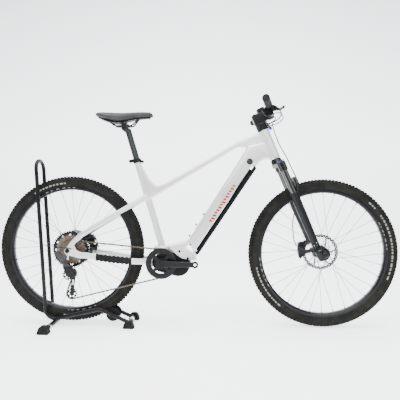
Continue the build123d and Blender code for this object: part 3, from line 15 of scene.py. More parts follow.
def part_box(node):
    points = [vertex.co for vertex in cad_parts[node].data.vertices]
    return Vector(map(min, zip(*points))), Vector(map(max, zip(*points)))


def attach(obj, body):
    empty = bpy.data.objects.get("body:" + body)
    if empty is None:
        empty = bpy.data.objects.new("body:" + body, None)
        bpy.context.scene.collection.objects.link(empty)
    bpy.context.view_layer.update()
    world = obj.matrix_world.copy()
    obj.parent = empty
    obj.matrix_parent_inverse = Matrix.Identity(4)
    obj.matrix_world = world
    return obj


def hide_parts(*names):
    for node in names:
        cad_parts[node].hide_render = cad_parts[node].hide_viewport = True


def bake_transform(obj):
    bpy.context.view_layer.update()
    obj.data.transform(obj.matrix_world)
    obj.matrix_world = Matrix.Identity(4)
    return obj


MM = 0.001
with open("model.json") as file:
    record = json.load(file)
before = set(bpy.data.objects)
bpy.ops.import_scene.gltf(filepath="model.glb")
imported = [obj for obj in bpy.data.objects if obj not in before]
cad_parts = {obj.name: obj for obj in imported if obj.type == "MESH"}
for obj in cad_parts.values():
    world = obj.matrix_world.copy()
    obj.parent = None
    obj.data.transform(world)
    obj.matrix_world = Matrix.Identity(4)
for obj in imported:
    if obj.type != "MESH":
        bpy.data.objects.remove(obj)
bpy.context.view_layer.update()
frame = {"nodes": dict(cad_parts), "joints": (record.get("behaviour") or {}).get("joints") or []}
scene = bpy.context.scene
nodes = frame["nodes"]
joints = {joint["name"]: joint for joint in frame["joints"]}
random.seed(7)


def pivot(name):
    return Vector(joints[name]["pos_m"])


REAR = pivot("rear_wheel_spin")
FRONT = pivot("front_wheel_spin")
CRANK = pivot("crank_spin")
GUIDE = pivot("guide_pulley_spin")
TENSION = pivot("tension_pulley_spin")
HEAD = pivot("steering_turn")
UPWARD = Vector(joints["steering_turn"]["axis"])
FORWARD = Vector((UPWARD.z, 0, -UPWARD.x))
TYRE_R = (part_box("front_tyre")[1].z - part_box("front_tyre")[0].z) / 2


def steer(x, y, z):
    """A point of the steering frame in millimetres: x forward, y left, z up the steering axis."""
    return HEAD + FORWARD * (x * MM) + UPWARD * (z * MM) + Vector((0, y * MM, 0))


def back(x, y, z):
    """A point in millimetres, x measured forward from the rear axle and z from the floor."""
    return Vector((REAR.x + x * MM, y * MM, z * MM))


# ---------------------------------------------------------------- camera
camera = bpy.data.objects.new("camera", bpy.data.cameras.new("camera"))
scene.collection.objects.link(camera)
camera.location = (0.1183, -2.2185, 0.7109)
camera.rotation_euler = Vector((-0.0439, 0.9984, -0.0342)).to_track_quat("-Z", "Y").to_euler()
camera.data.lens = 39.67
camera.data.sensor_width = 36
scene.camera = camera


# ---------------------------------------------------------------- materials
RAMP_SPAN = (0.35, 0.65)    # the grey values at the two ends of a colour ramp
NOISE_SPAN = (0.3, 0.7)     # nearly all of a noise's grey values


class Shader:
    """A small helper that adds and links nodes of one material."""

    def __init__(self, name):
        self.material = bpy.data.materials.new(name)
        self.material.use_nodes = True
        self.tree = self.material.node_tree
        self.shader = self.tree.nodes["Principled BSDF"]
        self.place = self.add("ShaderNodeTexCoord").outputs["Object"]

    def add(self, kind):
        """A new shader node of a kind."""
        return self.tree.nodes.new(kind)

    def link(self, source, target):
        """Joins an output to an input."""
        self.tree.links.new(source, target)

    def noise(self, scale, detail=3.0, stretch=(1, 1, 1)):
        """A grey value that varies softly over the object's own space."""
        mapping = self.add("ShaderNodeMapping")
        mapping.inputs["Scale"].default_value = stretch
        self.link(self.place, mapping.inputs["Vector"])
        noise = self.add("ShaderNodeTexNoise")
        noise.inputs["Scale"].default_value = scale
        noise.inputs["Detail"].default_value = detail
        self.link(mapping.outputs["Vector"], noise.inputs["Vector"])
        return noise.outputs["Fac"]

    def ramp(self, source, low, high):
        """Blends two colours by a grey value."""
        ramp = self.add("ShaderNodeValToRGB")
        ramp.color_ramp.elements[0].position = RAMP_SPAN[0]
        ramp.color_ramp.elements[1].position = RAMP_SPAN[1]
        ramp.color_ramp.elements[0].color = (*low, 1)
        ramp.color_ramp.elements[1].color = (*high, 1)
        self.link(source, ramp.inputs["Fac"])
        return ramp.outputs["Color"]

    def spread(self, source, low, high):
        """Turns a grey value into a number between two."""
        span = self.add("ShaderNodeMapRange")
        span.inputs["From Min"].default_value = NOISE_SPAN[0]
        span.inputs["From Max"].default_value = NOISE_SPAN[1]
        span.inputs["To Min"].default_value = low
        span.inputs["To Max"].default_value = high
        self.link(source, span.inputs["Value"])
        return span.outputs["Result"]

    def bump(self, source, depth):
        """Lifts the surface's shading by a grey value, depth in metres."""
        bump = self.add("ShaderNodeBump")
        bump.inputs["Strength"].default_value = 1.0
        bump.inputs["Distance"].default_value = depth
        self.link(source, bump.inputs["Height"])
        self.link(bump.outputs["Normal"], self.shader.inputs["Normal"])


def surface(name, colour, rough, metal=0.0, vary=0.12, patch=18, grain=900, depth=0.05,
            coat=0.0, coat_rough=0.1, stretch=(1, 1, 1), specular=0.5, rough_spread=0.06):
    """A solid finish: two close shades in soft patches, uneven gloss and a fine grain."""
    s = Shader(name)
    low = tuple(c * (1 - vary) for c in colour)
    high = tuple(min(1, c * (1 + vary)) for c in colour)
    s.link(s.ramp(s.noise(patch), low, high), s.shader.inputs["Base Color"])
    gloss = s.spread(s.noise(patch * 3), rough - rough_spread, rough + rough_spread)
    s.link(gloss, s.shader.inputs["Roughness"])
    s.bump(s.noise(grain, stretch=stretch), depth * MM)
    s.shader.inputs["Metallic"].default_value = metal
    s.shader.inputs["Coat Weight"].default_value = coat
    s.shader.inputs["Coat Roughness"].default_value = coat_rough
    s.shader.inputs["Specular IOR Level"].default_value = specular
    return s.material


silver_paint = surface("silver_paint", (0.66, 0.65, 0.635), 0.36, metal=0.55, vary=0.03, patch=6, grain=2600,
                       depth=0.012, coat=0.25, coat_rough=0.2)
powder_coat = surface("powder_coat", (0.004, 0.004, 0.005), 0.36, vary=0.2, grain=700, depth=0.05,
                      specular=0.16)
zinc_steel = surface("zinc_steel", (0.62, 0.61, 0.6), 0.28, metal=1, vary=0.08, grain=500, depth=0.03)
foot_rubber = surface("foot_rubber", (0.009, 0.0095, 0.0095), 0.7, vary=0.25, patch=30, grain=500, depth=0.12,
                      specular=0.08)
grip_rubber = surface("grip_rubber", (0.014, 0.0145, 0.015), 0.66, vary=0.2, patch=60, grain=900, depth=0.1,
                      specular=0.1)
black_plastic = surface("black_plastic", (0.004, 0.0045, 0.005), 0.5, vary=0.2, grain=1500, depth=0.05,
                        specular=0.1)
black_alloy = surface("black_alloy", (0.004, 0.004, 0.0045), 0.36, vary=0.15, grain=1500, depth=0.02,
                      specular=0.18)
dark_alloy = surface("dark_alloy", (0.016, 0.018, 0.019), 0.4, vary=0.12, grain=1800, depth=0.02,
                     specular=0.25)
grey_alloy = surface("grey_alloy", (0.030, 0.029, 0.031), 0.38, metal=0.3, vary=0.12, grain=1800, depth=0.02,
                     specular=0.3)
cast_black = surface("cast_black", (0.003, 0.003, 0.0035), 0.5, vary=0.2, grain=1100, depth=0.06,
                     specular=0.12)
gloss_black = surface("gloss_black", (0.004, 0.004, 0.005), 0.18, vary=0.2, grain=300, depth=0.004, coat=0.12,
                      coat_rough=0.06, specular=0.3)
fork_paint = surface("fork_paint", (0.0045, 0.005, 0.0055), 0.36, vary=0.15, grain=1500, depth=0.02,
                     specular=0.2)
chrome = surface("chrome", (0.085, 0.082, 0.082), 0.16, metal=1, vary=0.05, grain=300, depth=0.002,
                 rough_spread=0.03)
spoke_steel = surface("spoke_steel", (0.028, 0.026, 0.045), 0.4, metal=0.2, vary=0.08, grain=900, depth=0.01,
                      specular=0.3)
rotor_steel = surface("rotor_steel", (0.07, 0.058, 0.05), 0.34, metal=0.8, vary=0.25, patch=90, grain=600,
                      depth=0.02)
bronze_steel = surface("bronze_steel", (0.165, 0.135, 0.105), 0.4, metal=0.8, vary=0.35, patch=120, grain=600,
                       depth=0.02)
chain_steel = surface("chain_steel", (0.085, 0.072, 0.058), 0.42, metal=0.7, vary=0.25, patch=150, grain=600,
                      depth=0.02)
black_steel = surface("black_steel", (0.005, 0.005, 0.0055), 0.38, vary=0.2, grain=900, depth=0.02,
                      specular=0.2)
rim_paint = surface("rim_paint", (0.005, 0.005, 0.0065), 0.32, vary=0.15, grain=900, depth=0.01,
                    specular=0.2)
hose_rubber = surface("hose_rubber", (0.006, 0.006, 0.007), 0.45, vary=0.2, grain=900, depth=0.03,
                      specular=0.2)
blue_alloy = surface("blue_alloy", (0.02, 0.035, 0.14), 0.35, metal=0.4, vary=0.15, grain=900, depth=0.02)
button_plastic = surface("button_plastic", (0.012, 0.012, 0.014), 0.5, vary=0.1, grain=1500, depth=0.03,
                         specular=0.2)
saddle_skin = surface("saddle_skin", (0.026, 0.028, 0.028), 0.5, vary=0.18, patch=22, grain=1300, depth=0.12,
                      specular=0.22)
pale_print = surface("pale_print", (0.17, 0.165, 0.15), 0.6, vary=0.15, patch=60, grain=900, depth=0.02)
red_print = surface("red_print", (0.30, 0.018, 0.015), 0.45, vary=0.1, patch=60, grain=900, depth=0.01,
                    specular=0.2)

FINISH = {
    "stand_frame": powder_coat, "stand_hardware": zinc_steel, "stand_feet": foot_rubber,
    "stand_roller": foot_rubber, "head_tube": silver_paint, "seat_tube": silver_paint,
    "down_tube": silver_paint, "top_tube": silver_paint, "motor_cradle": silver_paint,
    "rear_stays": silver_paint, "chainstay_guard": foot_rubber, "frame_fittings": black_alloy,
    "motor_unit": cast_black, "rear_caliper": black_alloy, "rear_derailleur": black_alloy,
    "chain": chain_steel, "frame_hoses": hose_rubber, "battery": black_plastic, "battery_lock": grey_alloy,
    "rear_tyre": foot_rubber, "front_tyre": foot_rubber, "rear_rim": rim_paint, "front_rim": rim_paint,
    "rear_spokes": spoke_steel, "front_spokes": spoke_steel,
    "rear_hub": black_alloy, "front_hub": black_alloy,
    "rear_rotor": rotor_steel, "front_rotor": rotor_steel, "cassette_sprockets": bronze_steel,
    "cassette_large_sprocket": black_steel, "freehub": zinc_steel, "guide_pulley": black_plastic,
    "tension_pulley": black_plastic, "cranks": black_alloy, "chainring": black_steel, "seatpost": dark_alloy,
    "saddle_rails": black_alloy, "saddle_shell": black_plastic, "saddle_cover": saddle_skin,
    "fork_crown": gloss_black, "stanchions": chrome, "stem": black_alloy, "handlebar": black_alloy,
    "grips": grip_rubber, "brake_lever_bodies": black_alloy, "switch_bodies": black_plastic,
    "display": black_plastic, "control_hoses": hose_rubber, "front_hose_upper": hose_rubber,
    "fork_lockout_knob": blue_alloy, "right_brake_lever": black_alloy, "left_brake_lever": black_alloy,
    "shift_lever_main": black_plastic, "shift_lever_release": black_plastic,
    "assist_button_up": button_plastic, "assist_button_down": button_plastic, "fork_lowers": fork_paint,
    "front_caliper": black_alloy, "front_hose_lower": hose_rubber,
}
for name, node in nodes.items():
    for index in range(max(1, len(node.material_slots))):
        if index < len(node.material_slots):
            node.material_slots[index].material = FINISH[name]
        else:
            node.data.materials.append(FINISH[name])


# ---------------------------------------------------------------- mesh helpers
def add_piece(name, mesh, material, body, replaces=(), smooth=True):
    """Puts a mesh in the scene, riding on a CAD body, with the given finishes."""
    piece = bpy.data.objects.new(name, mesh)
    scene.collection.objects.link(piece)
    mesh.materials.clear()
    for one in material if isinstance(material, (list, tuple)) else [material]:
        mesh.materials.append(one)
    if smooth:
        mesh.polygons.foreach_set("use_smooth", [True] * len(mesh.polygons))
    if body:
        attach(piece, body)
    if replaces:
        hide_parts(*replaces)
    return piece


def from_bmesh(name, bm):
    """A mesh of this name from the working mesh, which is freed."""
    mesh = bpy.data.meshes.new(name)
    bm.normal_update()
    bm.to_mesh(mesh)
    bm.free()
    return mesh


def baked(piece):
    """The piece's mesh with its modifiers applied."""
    bpy.context.view_layer.update()
    graph = bpy.context.evaluated_depsgraph_get()
    return bpy.data.meshes.new_from_object(piece.evaluated_get(graph))


def add_rod(bm, start, end, radius, sides=48):
    """A closed round bar between two points."""
    run = end - start
    place = Matrix.Translation((start + end) / 2) @ run.to_track_quat("Z", "Y").to_matrix().to_4x4()
    bmesh.ops.create_cone(bm, cap_ends=True, segments=sides, radius1=radius, radius2=radius, depth=run.length,
                          matrix=place)


def smoothed(holder, weight, rounds):
    """The holder's mesh relaxed where weight(point) is more than nothing."""
    holder.vertex_groups.clear()
    group = holder.vertex_groups.new(name="soft")
    for vertex in holder.data.vertices:
        group.add([vertex.index], weight(vertex.co), "REPLACE")
    smooth = holder.modifiers.new("smooth", "SMOOTH")
    smooth.factor = 0.5
    smooth.iterations = rounds
    smooth.vertex_group = "soft"
    mesh = baked(holder)
    holder.modifiers.clear()
    holder.data = mesh


def moulded_mesh(name, sources, voxel, passes, rods=()):
    """One smooth closed skin over CAD nodes and extra bars; passes are (weight of a point, rounds)."""
    bm = bmesh.new()
    for source in sources:
        bm.from_mesh(nodes[source].data)
    for start, end, radius in rods:
        add_rod(bm, start, end, radius)
    holder = bpy.data.objects.new(name + "_holder", from_bmesh(name + "_raw", bm))
    scene.collection.objects.link(holder)
    remesh = holder.modifiers.new("skin", "REMESH")
    remesh.mode = "VOXEL"
    remesh.voxel_size = voxel
    holder.data = baked(holder)
    holder.modifiers.clear()
    for weight, rounds in passes:
        smoothed(holder, weight, rounds)
    mesh = holder.data
    bpy.data.objects.remove(holder)
    return mesh


def even_skin(name, source, voxel, rounds):
    """A skin over one node, smoothed alike all over."""
    return moulded_mesh(name, [source], voxel, [(lambda point: 1.0, rounds)])


def ramp_between(value, low, high):
    """0 below low, 1 above high and a smooth step between them."""
    t = min(1.0, max(0.0, (value - low) / (high - low)))
    return t * t * (3 - 2 * t)


# ---------------------------------------------------------------- the frame's moulded skin
FRAME_NODES = ("head_tube", "seat_tube", "down_tube", "top_tube", "motor_cradle", "rear_stays")
DROPOUT_REACH = 0.095       # ahead of the rear axle, where the crisp rear ends are over
DROPOUT_FADE = 0.04
DROPOUT_SOFTNESS = 0.08
HEAD_ROUND = (0.030, 0.055)  # from the steering axis: not smoothed inside, fully smoothed outside
HEAD_REACH = (0.21, 0.30)    # and where that smoothing fades out
SEAT_DIRECTION = Vector(joints["seatpost_height"]["axis"])
SEAT_TUBE_TOP = back(335, 0, 831)
SEAT_TUBE_LENGTH = 0.449
SEAT_TUBE_R = 0.0175


def tube_softness(point):
    """Keeps the thin rear ends crisp while the tubes' joints melt together."""
    ahead = ramp_between(point.x - REAR.x, DROPOUT_REACH - DROPOUT_FADE, DROPOUT_REACH)
    return DROPOUT_SOFTNESS + (1 - DROPOUT_SOFTNESS) * ahead


def steering_distance(point):
    """How far a point is from the steering axis, and how far up it."""
    offset = point - HEAD
    height = offset.dot(UPWARD)
    return (offset - UPWARD * height).length, height


def head_softness(point):
    """The tubes flow into each other near the head, which stays round itself."""
    distance, _ = steering_distance(point)
    return ramp_between(distance, *HEAD_ROUND) * (1 - ramp_between(distance, *HEAD_REACH))


seat_rod = (SEAT_TUBE_TOP - SEAT_DIRECTION * SEAT_TUBE_LENGTH, SEAT_TUBE_TOP, SEAT_TUBE_R)
add_piece(
    "frame_skin",
    moulded_mesh("frame_skin", FRAME_NODES, voxel=0.0024, passes=[(tube_softness, 16), (head_softness, 110)],
                 rods=[seat_rod]),
    silver_paint, "bike_frame", FRAME_NODES)


# ---------------------------------------------------------------- skins of the fork, its crown and the motor
LEG_AHEAD = 8 * MM          # of the steering axis
LEG_APART = 67 * MM         # each leg from the middle
BORE_R = 18.3 * MM
BORE_CORE = 0.012           # what is nearer a leg's axis than this is not its bore's wall
BORE_END = -0.494           # the bores' lower end, up the steering axis from HEAD


def bored(mesh):
    """The fork legs' mesh with the bores wide enough for the stanchions to slide in."""
    for vertex in mesh.vertices:
        from_head = vertex.co - HEAD
        side = math.copysign(LEG_APART, from_head.y)
        across = Vector((0, from_head.y - side, 0)) + FORWARD * (from_head.dot(FORWARD) - LEG_AHEAD)
        if BORE_CORE < across.length < BORE_R and from_head.dot(UPWARD) > BORE_END:
            vertex.co += across.normalized() * (BORE_R - across.length)
    return mesh


add_piece("fork_skin", bored(even_skin("fork_skin", "fork_lowers", voxel=0.0016, rounds=7)),
          fork_paint, "fork_slider", ["fork_lowers"])
add_piece("crown_skin", even_skin("crown_skin", "fork_crown", voxel=0.0016, rounds=7),
          gloss_black, "steering", ["fork_crown"])
add_piece("motor_skin", even_skin("motor_skin", "motor_unit", voxel=0.002, rounds=6),
          cast_black, "bike_frame", ["motor_unit"])


def painted_by_place(mesh, second):
    """Gives faces the second material where second(centre) is true."""
    for face in mesh.polygons:
        if second(face.center):
            face.material_index = 1


GUIDE_REACH = 0.0286        # the stem's hose guide is outside this distance from the steering axis
GUIDE_TOP = 0.166           # and below this height
LINK_Y = -0.0842            # the derailleur's grey link is outside this, and above LINK_LOW
LINK_LOW = 0.308


def is_hose_guide(point):
    """Whether a point of the stem is on its blue hose guide."""
    distance, height = steering_distance(point)
    return distance > GUIDE_REACH and height < GUIDE_TOP


def add_two_tone(name, source, voxel, rounds, finishes, body, second):
    """A skin over one node, in two finishes; second says where the second one goes."""
    mesh = even_skin(name, source, voxel, rounds)
    add_piece(name, mesh, finishes, body, [source])
    painted_by_place(mesh, second)


add_two_tone("stem_skin", "stem", voxel=0.0014, rounds=5, finishes=[black_alloy, blue_alloy],
             body="steering", second=is_hose_guide)


def is_derailleur_link(point):
    """Whether a point of the derailleur is on its grey link."""
    return point.y < LINK_Y and point.z > LINK_LOW


add_two_tone("derailleur_skin", "rear_derailleur", voxel=0.0011, rounds=3, finishes=[black_alloy, grey_alloy],
             body="bike_frame", second=is_derailleur_link)


# ---------------------------------------------------------------- ribbed rubber: the guard and the grips
RIB_PITCH = 0.0205
RIB_HEIGHT = 0.0021         # of the edges, up and down
RIB_BULGE = 0.006           # of the sides, as a share of their distance from the middle plane
GUARD_REAR_Z = 0.354        # the guard's middle line, at its rear end
GUARD_FRONT_Z = 0.3315      # and at its front end
GUARD_HALF = 0.0175         # half the guard's height
GRIP_RING_PITCH = 0.0052
GRIP_RING_DEPTH = 0.0005
GRIP_RINGS = (0.246, 0.362)  # the ringed stretch, from the bar's middle
GRIP_START = 0.240          # the grip's inner end, from the bar's middle
BAR_RUN = 0.252             # along y, between the two points that give the bar's slope
GRIP_CORE = 0.013           # the grip's outer wall is outside this


def ribbed_guard():
    """The chainstay guard, with a wave of ribs along its upper and lower edges."""
    mesh = even_skin("guard_ribs", "chainstay_guard", voxel=0.0016, rounds=4)
    low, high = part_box("chainstay_guard")
    for vertex in mesh.vertices:
        along = (vertex.co.x - low.x) / (high.x - low.x)
        middle = GUARD_REAR_Z + along * (GUARD_FRONT_Z - GUARD_REAR_Z)
        reach = (vertex.co.z - middle) / GUARD_HALF
        wave = math.sin(2 * math.pi * (vertex.co.x - low.x) / RIB_PITCH)
        edge = max(-1.0, min(1.0, reach))
        vertex.co.z += RIB_HEIGHT * wave * edge * ramp_between(abs(reach), 0.5, 0.9)
        vertex.co.y *= 1 + RIB_BULGE * wave * (1 - ramp_between(abs(reach), 0.6, 1.0))
    return mesh


add_piece("guard_ribs", ribbed_guard(), foot_rubber, "bike_frame", ["chainstay_guard"])


def ribbed_grips():
    """Grips with fine rings round them between the collar and the end."""
    mesh = even_skin("grip_rings", "grips", voxel=0.0013, rounds=3)
    start = steer(32.7, 0, 236.5)
    slope = (steer(11.8, 370, 246) - steer(52.3, 118, 227.5)) / BAR_RUN
    for vertex in mesh.vertices:
        distance = abs(vertex.co.y)
        centre = start + slope * (distance - GRIP_START)
        radial = Vector((vertex.co.x - centre.x, 0, vertex.co.z - centre.z))
        if radial.length > GRIP_CORE and GRIP_RINGS[0] < distance < GRIP_RINGS[1]:
            wave = math.sin(2 * math.pi * distance / GRIP_RING_PITCH)
            vertex.co += radial.normalized() * (GRIP_RING_DEPTH * wave)
    return mesh


add_piece("grip_rings", ribbed_grips(), grip_rubber, "steering", ["grips"])


# ---------------------------------------------------------------- tyres
PITCHES = 66                # tread repeats round one tyre, 35 mm apart
CASING_WIDTH = 0.0278       # half-width at its widest
CASING_HEIGHT = 0.0262      # from the widest line up to the crown
KNOB_HEIGHT = 0.0045
TREAD_INSET = 0.0003        # keeps the corners of the knobs inside the round tyre
BEAD_TURN = 148             # degrees from the crown to the bead
CASING_AROUND = 160
CASING_ACROSS = 30
BLOCK_LEVELS = ((-0.25, 1.08), (1.0, 0.78))   # a block's foot and top: share of its height, scale
# the rows of tread blocks on each side: degrees from the crown, place in the pitch, length, width, what its
# height is short of a knob's, and skew; where there are two values they go by turns
TREAD_ROWS = (((7, 9), 0.0, 0.0098, (0.0090, 0.0090), 0.0, (0.12, 0.12)),
              ((33, 33), 0.25, 0.0098, (0.0078, 0.0078), 0.0, (-0.2, 0.4)),
              ((60, 60), 0.04, 0.0100, (0.0080, 0.0100), 0.0003, (0.0, 0.0)))


def casing_point(turn):
    """Half-width and radius of the casing's round section, turn measured from the crown."""
    crown = TYRE_R - TREAD_INSET - KNOB_HEIGHT
    return (CASING_WIDTH * math.sin(turn), crown - CASING_HEIGHT + CASING_HEIGHT * math.cos(turn))


def wheel_point(centre, angle, y, radius):
    """A point of a wheel, the angle measured from its front upwards."""
    return centre + Vector((radius * math.cos(angle), y, radius * math.sin(angle)))


def add_block(bm, centre, along, across, out, size):
    """A tapered tread block standing on the casing, open where it sinks in."""
    corners = []
    for level, scale in BLOCK_LEVELS:
        for a, b in ((-1, -1), (1, -1), (1, 1), (-1, 1)):
            corners.append(bm.verts.new(centre + along * (a * size[0] / 2 * scale)
                                        + across * (b * size[1] / 2 * scale) + out * (size[2] * level)))
    bm.faces.new(corners[4:])
    for k in range(4):
        n = (k + 1) % 4
        bm.faces.new((corners[k], corners[n], corners[4 + n], corners[4 + k]))


def tread_block(bm, centre, angle, turn, length, width, height, skew):
    """One block at a place on the tyre; turn leans it over towards the side."""
    y, radius = casing_point(turn)
    radial = Vector((math.cos(angle), 0, math.sin(angle)))
    tangent = Vector((-math.sin(angle), 0, math.cos(angle)))
    out = (radial * math.cos(turn) + Vector((0, math.sin(turn), 0))).normalized()
    across = out.cross(tangent)
    turned = Matrix.Rotation(skew, 3, out)
    add_block(bm, wheel_point(centre, angle, y, radius), turned @ tangent, turned @ across, out,
              (length, width, height))


def tyre_mesh(name, centre):
    """A casing with a tan bead line, and its rows of tread blocks."""
    bm = bmesh.new()
    last_turn = math.radians(BEAD_TURN)
    rings = []
    for step in range(CASING_AROUND):
        angle = 2 * math.pi * step / CASING_AROUND
        ring = []
        for k in range(CASING_ACROSS + 1):
            turn = -last_turn + 2 * last_turn * k / CASING_ACROSS
            y, radius = casing_point(turn)
            ring.append(bm.verts.new(wheel_point(centre, angle, y, radius)))
        rings.append(ring)
    for step in range(CASING_AROUND):
        first, second = rings[step], rings[(step + 1) % CASING_AROUND]
        for k in range(CASING_ACROSS):
            face = bm.faces.new((first[k], first[k + 1], second[k + 1], second[k]))
            face.smooth = True
            face.material_index = 1 if k in (0, CASING_ACROSS - 1) else 0
        bm.faces.new((first[-1], first[0], second[0], second[-1]))
    pitch = 2 * math.pi / PITCHES
    for half in range(2 * PITCHES):
        odd = half % 2
        for side in (-1, 1):
            for turns, place, length, widths, short, skews in TREAD_ROWS:
                tread_block(bm, centre, half * pitch / 2 + pitch * place, side * math.radians(turns[odd]),
                            length, widths[odd], KNOB_HEIGHT - short, side * skews[odd])
    return from_bmesh(name, bm)


def tyre_rubber():
    """Black rubber in soft patches, some a little browner, with a fine grain."""
    s = Shader("tyre_rubber")
    shade = s.ramp(s.noise(26, 5), (0.0075, 0.0075, 0.007), (0.014, 0.0135, 0.0115))
    s.link(shade, s.shader.inputs["Base Color"])
    s.link(s.spread(s.noise(60), 0.62, 0.8), s.shader.inputs["Roughness"])
    s.bump(s.noise(1500), 0.08 * MM)
    s.shader.inputs["Specular IOR Level"].default_value = 0.08
    return s.material


tyre_black = tyre_rubber()
bead_tan = surface("bead_tan", (0.13, 0.085, 0.035), 0.7, vary=0.2, patch=40, grain=1200, depth=0.05)
for name, centre, body in (("rear_tyre", REAR, "rear_wheel"), ("front_tyre", FRONT, "front_wheel")):
    add_piece(name + "_knobbly", tyre_mesh(name + "_knobbly", centre), [tyre_black, bead_tan], body,
              [name], smooth=False)


# ---------------------------------------------------------------- chain
CHAIN_PITCH = 12.7 * MM
CASSETTE_Y = (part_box("guide_pulley")[0].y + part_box("guide_pulley")[1].y) / 2
RING_Y = -0.052
COG_TEETH = 24              # of the sprocket that the chain is on
RING_TEETH = 34
PULLEY_TEETH = 13
PLATE_LOBE = 4.2 * MM       # half-height of a link's end
PLATE_WAIST = 2.9 * MM      # half-height at its middle
PLATE_THICKNESS = 0.85 * MM
WIDE_GAP = 2.05 * MM        # from the chain's middle to an outer plate
NARROW_GAP = 1.1 * MM       # and to an inner one
ROLLER_R = 3.6 * MM
ROLLER_HALF = 1.05 * MM
RIVET_R = 1.7 * MM
RIVET_HALF = 3.2 * MM
ARC_STEPS = 24


def pitch_radius(teeth):
    """Radius of the circle that a sprocket's chain pins lie on."""
    return CHAIN_PITCH / (2 * math.sin(math.pi / teeth))


def chain_path():
    """The chain's line as short steps: runs between the wheels and arcs round them."""
    pulley_r = pitch_radius(PULLEY_TEETH)
    wheels = ((REAR, pitch_radius(COG_TEETH), 1, CASSETTE_Y), (CRANK, pitch_radius(RING_TEETH), 1, RING_Y),
              (TENSION, pulley_r, 1, CASSETTE_Y), (GUIDE, pulley_r, -1, CASSETTE_Y))
    runs = []
    for index, (c1, r1, s1, y1) in enumerate(wheels):
        c2, r2, s2, y2 = wheels[(index + 1) % len(wheels)]
        line = Vector((c2.x - c1.x, c2.z - c1.z))
        span = line.length
        u = line / span
        lean = (s1 * r1 - s2 * r2) / span
        rise = math.sqrt(1 - lean * lean)
        n = Vector((u.x * lean - u.y * rise, u.y * lean + u.x * rise))
        start = Vector((c1.x + s1 * r1 * n.x, y1, c1.z + s1 * r1 * n.y))
        end = Vector((c2.x + s2 * r2 * n.x, y2, c2.z + s2 * r2 * n.y))
        runs.append((start, end))
    points = []
    for index, (centre, radius, sense, y) in enumerate(wheels):
        arrive, leave = runs[index - 1][1], runs[index][0]
        a0 = math.atan2(arrive.z - centre.z, arrive.x - centre.x)
        a1 = math.atan2(leave.z - centre.z, leave.x - centre.x)
        while sense * (a0 - a1) <= 0:
            a1 -= sense * 2 * math.pi
        for k in range(ARC_STEPS):
            a = a0 + (a1 - a0) * k / ARC_STEPS
            points.append(Vector((centre.x + radius * math.cos(a), y, centre.z + radius * math.sin(a))))
        points.append(leave)
    return points + [points[0]]


def link_pins(points):
    """Pin centres evenly spaced along the closed chain line, one pitch apart as near as fits."""
    lengths = [(b - a).length for a, b in zip(points, points[1:])]
    count = 2 * round(sum(lengths) / CHAIN_PITCH / 2)
    step = sum(lengths) / count
    pins, walked, index = [], 0.0, 0
    for k in range(count):
        target = k * step
        while walked + lengths[index] < target:
            walked += lengths[index]
            index += 1
        pins.append(points[index].lerp(points[index + 1], (target - walked) / lengths[index]))
    return pins


def add_prism(bm, outline, centre, ahead, across, up, y0, y1):
    """A flat plate: an outline in the plane of ahead and up, thick along across."""
    rows = [[bm.verts.new(centre + ahead * a + up * b + across * y) for a, b in outline] for y in (y0, y1)]
    bm.faces.new(rows[0])
    bm.faces.new(list(reversed(rows[1])))
    for k in range(len(outline)):
        n = (k + 1) % len(outline)
        bm.faces.new((rows[0][k], rows[1][k], rows[1][n], rows[0][n]))


def circle(radius, sides):
    """A round outline with flat sides."""
    return [(radius * math.cos(2 * math.pi * n / sides), radius * math.sin(2 * math.pi * n / sides))
            for n in range(sides)]


def plate_outline(half):
    """A waisted plate with two round lobes; half is half the distance between its pins."""
    outline = []
    for end in (1, -1):
        for step in range(7):
            turn = math.radians(-70 + 140 * step / 6)
            outline.append((end * (half + PLATE_LOBE * math.cos(turn) * 0.98),
                            end * PLATE_LOBE * math.sin(turn)))
        outline.append((0, end * PLATE_WAIST))
    return outline


def chain_mesh():
    """Rollers and waisted plates, wide and narrow links by turns."""
    bm = bmesh.new()
    pins = link_pins(chain_path())
    across = Vector((0, 1, 0))
    for k, pin in enumerate(pins):
        following = pins[(k + 1) % len(pins)]
        ahead = (following - pin).normalized()
        up = across.cross(ahead).normalized()
        middle, half = (pin + following) / 2, (following - pin).length / 2
        outline = plate_outline(half)
        gap = WIDE_GAP if k % 2 else NARROW_GAP
        for side in (-1, 1):
            low, high = sorted((side * gap, side * (gap + PLATE_THICKNESS)))
            add_prism(bm, outline, middle, ahead, across, up, low, high)
        add_prism(bm, circle(ROLLER_R, 10), pin, ahead, across, up, -ROLLER_HALF, ROLLER_HALF)
        add_prism(bm, circle(RIVET_R, 8), pin, ahead, across, up, -RIVET_HALF, RIVET_HALF)
    return from_bmesh("chain_links", bm)


add_piece("chain_links", chain_mesh(), chain_steel, "bike_frame", ["chain"], smooth=False)


# ---------------------------------------------------------------- saddle
# sections from tail to nose: ahead of the rear axle, half-width, top, lower edge of the side
SADDLE = ((131, 26, 1067, 1058), (136, 44, 1071, 1054), (146, 60, 1074, 1049), (172, 70, 1075, 1039),
          (206, 69, 1074, 1028), (242, 55, 1073, 1024), (285, 36, 1074, 1032), (340, 25, 1077, 1045),
          (385, 21, 1077, 1048), (404, 17, 1074, 1050), (413, 12, 1068, 1051), (417, 6, 1061, 1053))
SADDLE_AROUND = 40
SADDLE_STEPS = 4            # rings from one section to the next
SEAM_TURN = 0.42            # the seam runs round the side, this far above its widest line
SEAM_SPREAD = 0.09
SEAM_DEPTH = 0.5
WIDEST_SHARE = 0.34         # of the side's height, where the saddle is widest
GROOVE_DEPTH = 1.6          # of the middle channel
GROOVE_SPREAD = 5.5


